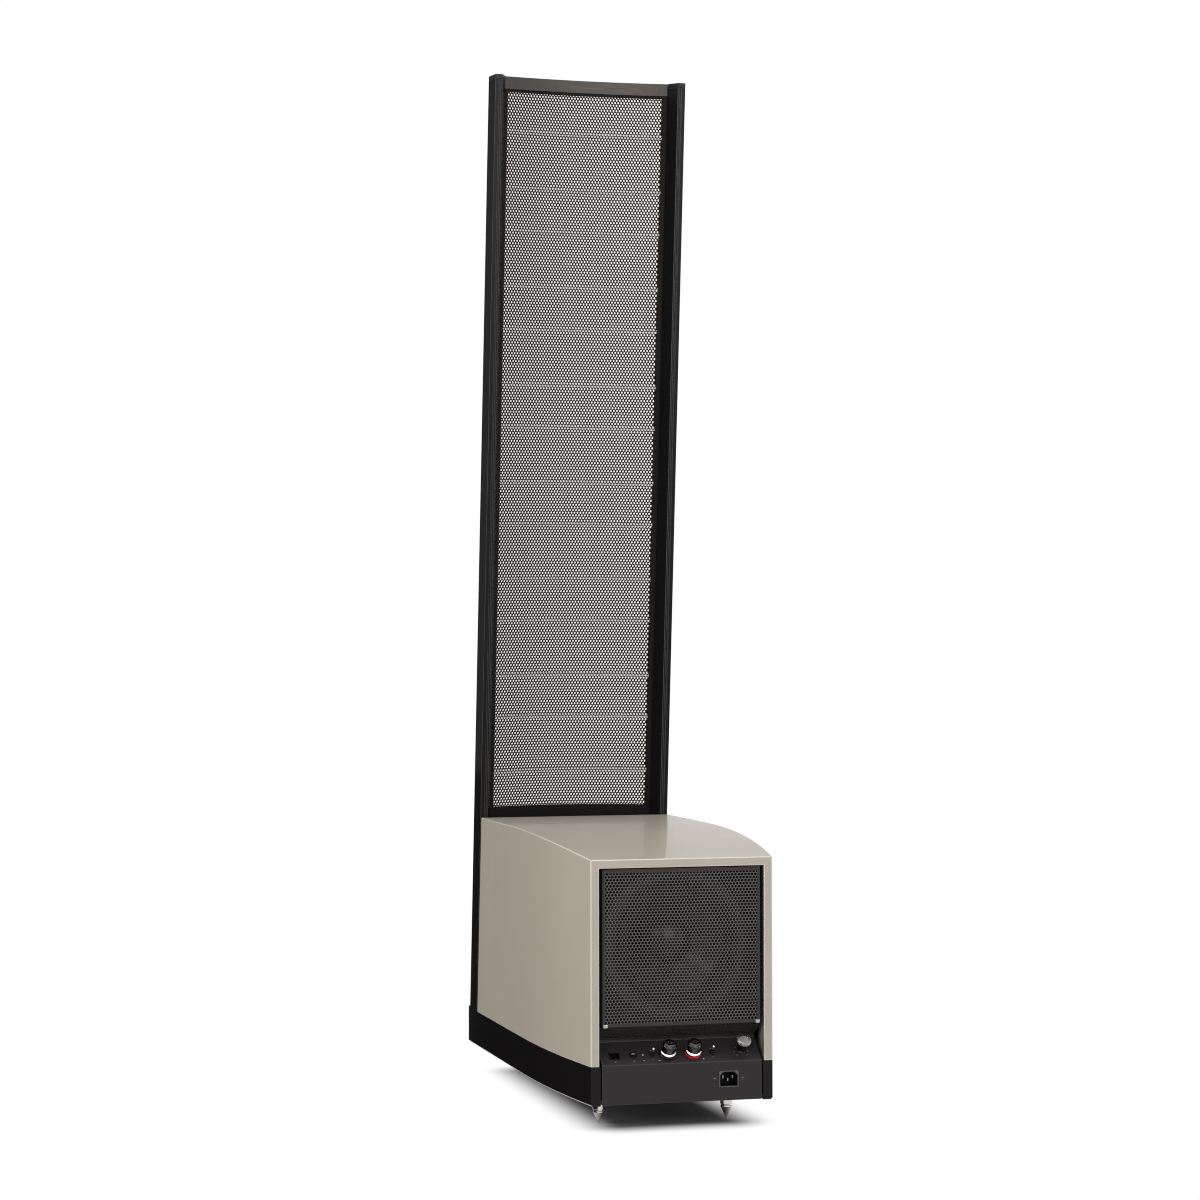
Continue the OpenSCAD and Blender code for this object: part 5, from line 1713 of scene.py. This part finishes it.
    def _knob(self) -> None:
        """Level knob with a milled silver head on a dark stem."""
        shop, knob = self.shop, "level_knob"
        place = shop.sizes.on_slope(self.knob_x)
        self._turned("level_knob_head", place,
                     [(0, 20), (9.2, 20), (9.4, 20.3), (9.4, 23.4), (8.9, 23.9), (6.6, 24), (6.4, 23.7),
                      (0, 23.6)], KNOB_FACE, knob, "knob_silver", knob)
        tooth = Form()
        tooth.lathe([(0, 20.3), (0.62, 20.3), (0.62, 23.4), (0, 23.4)], Matrix.Translation((9.35, 0, 0)), 10)
        milled = tooth.object("level_knob_milling", shop.paints.get(KNOB_SILVER))
        shop.nodes.run(shop.nodes.round, milled, place @ Matrix.Scale(MM, 4), Count=30, First_Angle=0.0)
        shop.add(milled, knob, [knob], "knob_silver")
        self._turned("level_knob_stem", place,
                     [(3.1, 4.8), (5.3, 4.8), (5.5, 5.0), (5.5, 16.8), (6.8, 19.9), (0, 19.9), (0, 16),
                      (3.1, 16)], MOULD_BLACK, knob, "knob_silver", knob)
        self._turned("level_knob_shaft", place, [(0, -5), (3, -5), (3, 15.8), (0, 15.8)], STEEL_DARK, knob,
                     "control_metal", knob)
        shop.paint_cad(STEEL_DARK, "level_pot")

    def _toggles(self) -> None:
        """Two bat toggles in their bushes."""
        shop = self.shop
        for label, x in self.toggles:
            place = shop.sizes.on_slope(x)
            self._turned(f"toggle_{label}_bush", place,
                         [(2.4, -1.9), (3, -1.9), (3, 4.2), (2.7, 4.5), (2.4, 4.5)],
                         CAP_BLACK, "toggle_bushes", "control_metal", steps=32)
            nut = Form()
            ring = [(4.5 * math.cos(k * math.pi / 3), 4.5 * math.sin(k * math.pi / 3)) for k in range(6)]
            nut.loft([[(p, q, z) for p, q in ring] for z in (0.0, 1.6)], place @ Matrix.Scale(MM, 4))
            nut.round_edges(0.25 * MM, 2, 30)
            switch = Form()
            switch.box((-4, -6.5, -10), (4, 6.5, -2), place @ Matrix.Scale(MM, 4))
            for form, part, finish in ((nut, "nut", CAP_BLACK), (switch, "switch", MOULD_BLACK)):
                shop.add(form.object(f"toggle_{label}_{part}", shop.paints.get(finish)),
                         replaces=["toggle_bushes"], slot="control_metal")
            lever = f"toggle_lever_{label}"
            tip = arc_points(0, 12.3, 1.7, -20, 90, 8)
            self._turned(f"toggle_{label}_bat", place,
                         [(0, -1.05), *arc_points(0, 1, 2.0, -80, 60, 10), (0.9, 3.4), *tip[:-1], (0, 14.0)],
                         CHROME, lever, "lever_metal", lever, 32, 60)

    def _sockets(self) -> None:
        """Data socket, small jack and status light."""
        shop, s = self.shop, self.shop.sizes
        place = s.on_slope(self.socket_x) @ Matrix.Scale(MM, 4)
        frame = Form()
        for lo, hi in (((-7.5, -5.75, -15), (-6, 5.75, 0.4)), ((6, -5.75, -15), (7.5, 5.75, 0.4)),
                       ((-6, -5.75, -15), (6, -4.25, 0.4)), ((-6, 4.25, -15), (6, 5.75, 0.4)),
                       ((-6, -4.25, -15), (6, 4.25, -13))):
            frame.box(lo, hi, place)
        shop.add(frame.object("data_socket_body", shop.paints.get(MOULD_BLACK)), replaces=["data_socket"],
                 slot="terminal_black")
        pins = Form()
        for k in range(8):
            x = -3.57 + 1.02 * k
            pins.box((x - 0.25, -3.6, -12.9), (x + 0.25, -3.2, -3.5), place)
        shop.add(pins.object("data_socket_contacts", shop.paints.get(BRASS)), slot="pin_metal")
        place = s.on_slope(self.jack_x)
        self._turned("small_jack", place,
                     [(1.75, -9), (4, -9), (4, 0), (5.3, 0), (5.5, 0.2), (5.5, 1.1), (5.1, 1.4), (2.1, 1.4),
                      (1.75, 1.1)], MOULD_BLACK, "jack_and_light", "terminal_black", steps=48)
        self._turned("small_jack_ring", place, [(1.8, 0.9), (2.6, 1.38), (2.6, 1.5), (1.8, 1.2)], CHROME, "",
                     "pin_metal", steps=32)
        place = s.on_slope(self.light_x)
        self._turned("status_bezel", place,
                     [(1.2, -2), (1.5, -2), (1.5, 0), (2.0, 0), (2.0, 0.6), (1.7, 0.8), (1.2, 0.8)],
                     MOULD_BLACK, "jack_and_light", "terminal_black", steps=24)
        self._turned("status_light", place, [(0, -1), (1.15, -1), (1.15, 0.4), (0.7, 0.75), (0, 0.85)],
                     LAMP_GREEN, "", "terminal_black", steps=24)

    @staticmethod
    def _mouth(w: float, h: float, c: float, d: float) -> list[Point]:
        """A rectangle with its two upper corners cut.

        Args:
            w: Width.
            h: Height.
            c: How much is cut off its upper corners.
            d: Height above the panel.

        Returns:
            The corners.
        """
        return [(-w / 2, -h / 2, d), (w / 2, -h / 2, d), (w / 2, h / 2 - c, d), (w / 2 - c, h / 2, d),
                (-w / 2 + c, h / 2, d), (-w / 2, h / 2 - c, d)]

    def _inlet(self) -> None:
        """Mains inlet: rim, recess with cut corners, three pins, flange and screws. The rim is lighter than
        the black housing: a painted highlight.
        """
        shop, s = self.shop, self.shop.sizes
        x, z = self.inlet
        place = s.on_rear(x, z) @ Matrix.Scale(MM, 4)
        housing = Form()
        housing.loft([self._mouth(*level) for level in
                      ((28, 22.5, 1.2, -22), (28, 22.5, 1.2, 0.2), (25.4, 19.9, 4.8, 0.2),
                       (24, 18.5, 5.0, 0.1), (24, 18.5, 5.0, -19))], place)
        rim = Form()
        rim.loft([self._mouth(*level) for level in
                  ((28, 22.5, 1.2, 0.25), (28, 22.5, 1.2, 0.5), (27.4, 21.9, 1.2, 0.8),
                   (25.6, 20.1, 4.8, 0.8), (25.2, 19.7, 4.9, 0.25))], place, ring=True)
        flange = Form()
        for lo, hi in (((-25, -11.25, -4.7), (-14.1, 11.25, -2.2)),
                       ((14.1, -11.25, -4.7), (25, 11.25, -2.2))):
            flange.box(lo, hi, place)
        for form, name, finish, smooth in ((housing, "housing", MOULD_BLACK, 25), (rim, "rim", INLET_RIM_PAINTED_HIGHLIGHT, 25),
                                           (flange, "flange", MOULD_BLACK, 35)):
            shop.add(form.object(f"inlet_{name}", shop.paints.get(finish), smooth), replaces=["mains_inlet"],
                     slot="inlet_plastic")
        pins = Form()
        for px, pz in ((-7, 2), (0, -2), (7, 2)):
            pins.box((px - 1, pz - 2, -19), (px + 1, pz + 2, -5), place)
        pins.round_edges(0.4 * MM, 2, 40)
        shop.add(pins.object("inlet_blades", shop.paints.get(STEEL_DARK)), replaces=["inlet_pins"],
                 slot="pin_metal")
        for k, side in enumerate((-1, 1)):
            self._turned(f"inlet_screw_{k + 1}", s.on_rear(x + side * self.screw_at, z),
                         [(0, -8), (1.5, -8), (1.5, 0), (2.9, 0), (2.9, 0.3), (2.4, 1.0), (1.3, 1.4),
                          (1.15, 0.6), (0, 0.6)], SCREW_BLACK, "inlet_screws", "screw_metal", steps=24)

    def _bar(self, form: Form, x: float, along: float, w: float, h: float, turn: float = 0.0) -> None:
        """Adds a printed bar on the slope.

        Args:
            form: The form that holds the marks.
            x: Place across.
            along: Distance from the bend.
            w: Width in millimetres.
            h: Height in millimetres.
            turn: Turn on the face, in radians.
        """
        place = self.shop.sizes.on_slope(x, along) @ Matrix.Rotation(turn, 4, "Z") @ Matrix.Scale(MM, 4)
        form.box((-w / 2, -h / 2, 0.01), (w / 2, h / 2, 0.06), place)

    def _marks(self) -> None:
        """Plain marks: plus and minus at the terminals, ticks round the knob and at the rest."""
        form = Form()
        sign_x, sign_at, dial_r = 0.0315, 0.0055, 0.0098
        self._bar(form, sign_x, sign_at, 2.4, 0.5)
        self._bar(form, -sign_x, sign_at, 2.4, 0.5)
        self._bar(form, -sign_x, sign_at, 0.5, 2.4)
        for k in range(7):
            a = math.radians(-135 + 45 * k)
            self._bar(form, self.knob_x + dial_r * math.sin(a),
                      self.shop.sizes.control_s + dial_r * math.cos(a), 0.35, 1.3, a)
        for _, x in self.toggles:
            for along in (0.0085, 0.0245):
                self._bar(form, x, along, 1.6, 0.45)
        for x in (self.socket_x, self.jack_x, self.light_x):
            self._bar(form, x, 0.0065, 2.2, 0.45)
        self.shop.add(form.object("panel_marks", self.shop.paints.get(LABEL_WHITE)), slot="charcoal_panel")

    def build(self) -> None:
        """Builds the panel."""
        self.shop.add(self._sheet(), replaces=["control_panel"], slot="charcoal_panel")
        for part in (self._terminals, self._knob, self._toggles, self._sockets, self._inlet, self._marks):
            part()
        self.shop.paint_cad(WRAP_DARK, "power_transformer", "audio_transformer")
        self.shop.paint_cad(BOARD_GREEN, "amplifier_board")


@dataclass(frozen=True)
class Lamp:
    """A rectangular light: its name, where it stands, what it faces, its size and its watts."""

    name: str
    place: Point
    aim: Point
    size: Flat
    power: float


@dataclass(frozen=True)
class Studio:
    """Floor, light and camera.

    Attributes:
        eye: Where the camera stands.
        angles: The camera's yaw, pitch and roll, in degrees.
        lens: Focal length in millimetres, on a 36 mm sensor.
        shift: The lens's shift across and up.
        fill: Strength of the light that the world gives.
        shade_half: Half-size of the field under the object that keeps its shadow.
        shade_at: Middle of that field.
        white_from: How far beyond that field the floor has turned white; this ramp paints the shadow's soft
            edge.
        floor_painted_shade: Colour of the field where it is seen.
        floor_lit: Colour of the floor where it only lights the object. The field is seen darker than this:
            painted shade under the object.
        lamps: The lights.
    """

    eye: Point = (1.14326, 4.15796, 0.67888)
    angles: Point = (15.08, 0.9475, -0.0709)
    lens: float = 87.21
    shift: Flat = (-0.0023, -0.0102)
    fill: float = 0.40
    shade_half: Point = (0.074, 0.262, 1.0)
    shade_at: Point = (-0.006, 0.0, 0.0)
    white_from: float = 0.080
    floor_painted_shade: float = 0.26
    floor_lit: float = 0.40
    lamps: tuple[Lamp, ...] = (
        Lamp("overhead", (0.2, 0.4, 3.6), (0, 0.1, 0.3), (2.6, 2.6), 28.0),
        Lamp("rear_soft", (-0.4, 3.6, 2.0), (0, 0.2, 0.4), (2.2, 2.2), 68.0),
        Lamp("side_soft", (3.4, 0.6, 1.2), (0, 0, 0.5), (2.6, 2.4), 68.0),
        Lamp("key", (2.3, 3.1, 2.3), (0, 0.3, 0.2), (0.55, 0.55), 14.0),
        Lamp("edge_strip", (-2.6, 2.2, 0.9), (0, 0.2, 0.5), (0.3, 2.2), 16.0))

    def _camera(self) -> None:
        """The photograph's viewpoint."""
        yaw, pitch, roll = (math.radians(v) for v in self.angles)
        ahead = Vector((-math.sin(yaw) * math.cos(pitch), -math.cos(yaw) * math.cos(pitch), math.sin(pitch)))
        right = ahead.cross(Vector((0, 0, 1))).normalized()
        up = right.cross(ahead)
        across = right * math.cos(roll) + up * math.sin(roll)
        over = up * math.cos(roll) - right * math.sin(roll)
        data = bpy.data.cameras.new("camera")
        data.sensor_width = 36.0
        data.lens = self.lens
        data.shift_x, data.shift_y = self.shift
        data.clip_end = 100.0
        camera = bpy.data.objects.new("camera", data)
        turn = Matrix((across, over, -ahead)).transposed().to_4x4()
        camera.matrix_world = Matrix.Translation(Vector(self.eye)) @ turn
        bpy.context.scene.collection.objects.link(camera)
        bpy.context.scene.camera = camera

    def _world(self) -> None:
        """White where it is seen, in mirrors and through glass too, and grey in the light that it gives."""
        world = bpy.data.worlds.new("studio")
        bpy.context.scene.world = world
        world.use_nodes = True
        nodes, links = world.node_tree.nodes, world.node_tree.links
        soft = nodes["Background"]
        soft.inputs["Color"].default_value = (1, 1, 1, 1)
        strength = nodes.new("ShaderNodeMapRange")
        put(strength, {"To Min": self.fill, "To Max": 1.0})
        links.new(self._seen(world.node_tree), strength.inputs["Value"])
        links.new(strength.outputs["Result"], soft.inputs["Strength"])

    @staticmethod
    def _seen(tree: bpy.types.NodeTree) -> bpy.types.NodeSocket:
        """Gives 1 for what is seen directly, in metal or through glass, and 0 for what only lights."""
        path = tree.nodes.new("ShaderNodeLightPath")
        result = path.outputs["Is Camera Ray"]
        for other in ("Is Glossy Ray", "Is Transmission Ray"):
            either = tree.nodes.new("ShaderNodeMath")
            either.operation = "MAXIMUM"
            tree.links.new(result, either.inputs[0])
            tree.links.new(path.outputs[other], either.inputs[1])
            result = either.outputs[0]
        return result

    @staticmethod
    def _vector(tree: bpy.types.NodeTree, operation: str, socket: bpy.types.NodeSocket,
                other: Point | None = None) -> bpy.types.NodeSocket:
        """Adds a vector maths node and gives its result."""
        node = tree.nodes.new("ShaderNodeVectorMath")
        node.operation = operation
        tree.links.new(socket, node.inputs[0])
        if other:
            node.inputs[1].default_value = other
        return node.outputs["Value" if operation == "LENGTH" else "Vector"]

    def _floor(self) -> None:
        """A pale floor that keeps the object's shadow, seen darker under it as painted shade, and turns white
        in a ramp that paints the shadow's edge.
        """
        form = Form()
        form.loft([[(-20, -20, z), (20, -20, z), (20, 20, z), (-20, 20, z)] for z in (-0.02, 0.0)])
        mat = bpy.data.materials.new("floor")
        mat.use_nodes = True
        tree = mat.node_tree
        nodes, links = tree.nodes, tree.links
        bsdf = nodes["Principled BSDF"]
        put(bsdf, {"Roughness": 0.9, "Specular IOR Level": 0.0, "Emission Color": (1, 1, 1, 1)})
        directly = self._seen(tree)
        place = nodes.new("ShaderNodeTexCoord").outputs["Object"]
        offset = self._vector(tree, "ABSOLUTE", self._vector(tree, "SUBTRACT", place, self.shade_at))
        beyond = self._vector(tree, "SUBTRACT", offset, self.shade_half)
        outside = self._vector(tree, "MAXIMUM", beyond, (0.0, 0.0, 0.0))
        rise = nodes.new("ShaderNodeMapRange")
        rise.interpolation_type = "SMOOTHSTEP"
        rise.inputs["From Max"].default_value = self.white_from
        links.new(self._vector(tree, "LENGTH", outside), rise.inputs["Value"])
        near = nodes.new("ShaderNodeMapRange")
        put(near, {"To Min": self.floor_painted_shade, "To Max": 0.0})
        links.new(rise.outputs["Result"], near.inputs["Value"])
        shade = nodes.new("ShaderNodeMapRange")
        shade.inputs["To Min"].default_value = self.floor_lit
        links.new(directly, shade.inputs["Value"])
        links.new(near.outputs["Result"], shade.inputs["To Max"])
        links.new(shade.outputs["Result"], bsdf.inputs["Base Color"])
        seen = nodes.new("ShaderNodeMath")
        seen.operation = "MULTIPLY"
        links.new(rise.outputs["Result"], seen.inputs[0])
        links.new(directly, seen.inputs[1])
        links.new(seen.outputs[0], bsdf.inputs["Emission Strength"])
        form.object("floor", mat, weigh=False)

    @staticmethod
    def _flag() -> None:
        """A card beside the object, black below and grey above, which only its shiny surfaces see."""
        form = Form()
        form.box((0.156, -0.42, 0.003), (1.6, -0.40, 0.46))
        form.box((0.156, -0.40, 0.001), (1.6, 0.42, 0.003))
        for made in form.box((0.153, -0.42, 0.46), (0.34, -0.40, 1.9)):
            made.material_index = 1
        mat = bpy.data.materials.new("flag")
        mat.use_nodes = True
        bsdf = mat.node_tree.nodes["Principled BSDF"]
        put(bsdf, {"Base Color": (0.01, 0.01, 0.01, 1), "Specular IOR Level": 0.0})
        grey = mat.copy()
        put(grey.node_tree.nodes["Principled BSDF"],
            {"Emission Color": (1, 1, 1, 1), "Emission Strength": 0.09})
        card = form.object("flag", mat, weigh=False, edge=grey)
        card.visible_camera = card.visible_diffuse = card.visible_shadow = card.visible_transmission = False

    @staticmethod
    def _light(lamp: Lamp) -> None:
        """Adds a rectangular light."""
        data = bpy.data.lights.new(lamp.name, "AREA")
        data.shape = "RECTANGLE"
        data.size, data.size_y = lamp.size
        data.energy = lamp.power
        light = bpy.data.objects.new(lamp.name, data)
        light.location = lamp.place
        light.rotation_mode = "QUATERNION"
        light.rotation_quaternion = (Vector(lamp.aim) - Vector(lamp.place)).to_track_quat("-Z", "Y")
        light.visible_camera = False
        bpy.context.scene.collection.objects.link(light)

    def build(self) -> None:
        """Builds the studio."""
        self._camera()
        self._world()
        self._floor()
        self._flag()
        for lamp in self.lamps:
            self._light(lamp)
        scene = bpy.context.scene
        scene.view_settings.view_transform = "Standard"
        scene.view_settings.look = "None"
        scene.cycles.transparent_max_bounces = 24
        scene.cycles.max_bounces = 10
        scene.cycles.filter_width = 1.1


def main() -> None:
    """Builds the whole scene."""
    logging.basicConfig(level=logging.INFO)
    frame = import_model()
    sizes = Sizes()
    shop = Workshop(sizes, frame)
    for assembly in (RailFrame(shop), RadiatingPanel(shop), Cabinet(shop), Plinth(shop),
                     Driver(shop, "front", sizes.front_driver()), Driver(shop, "rear", sizes.rear_driver()),
                     ControlPanel(shop), Studio()):
        assembly.build()
        log.info("built %s", type(assembly).__name__)


if __name__ == "__main__":
    main()
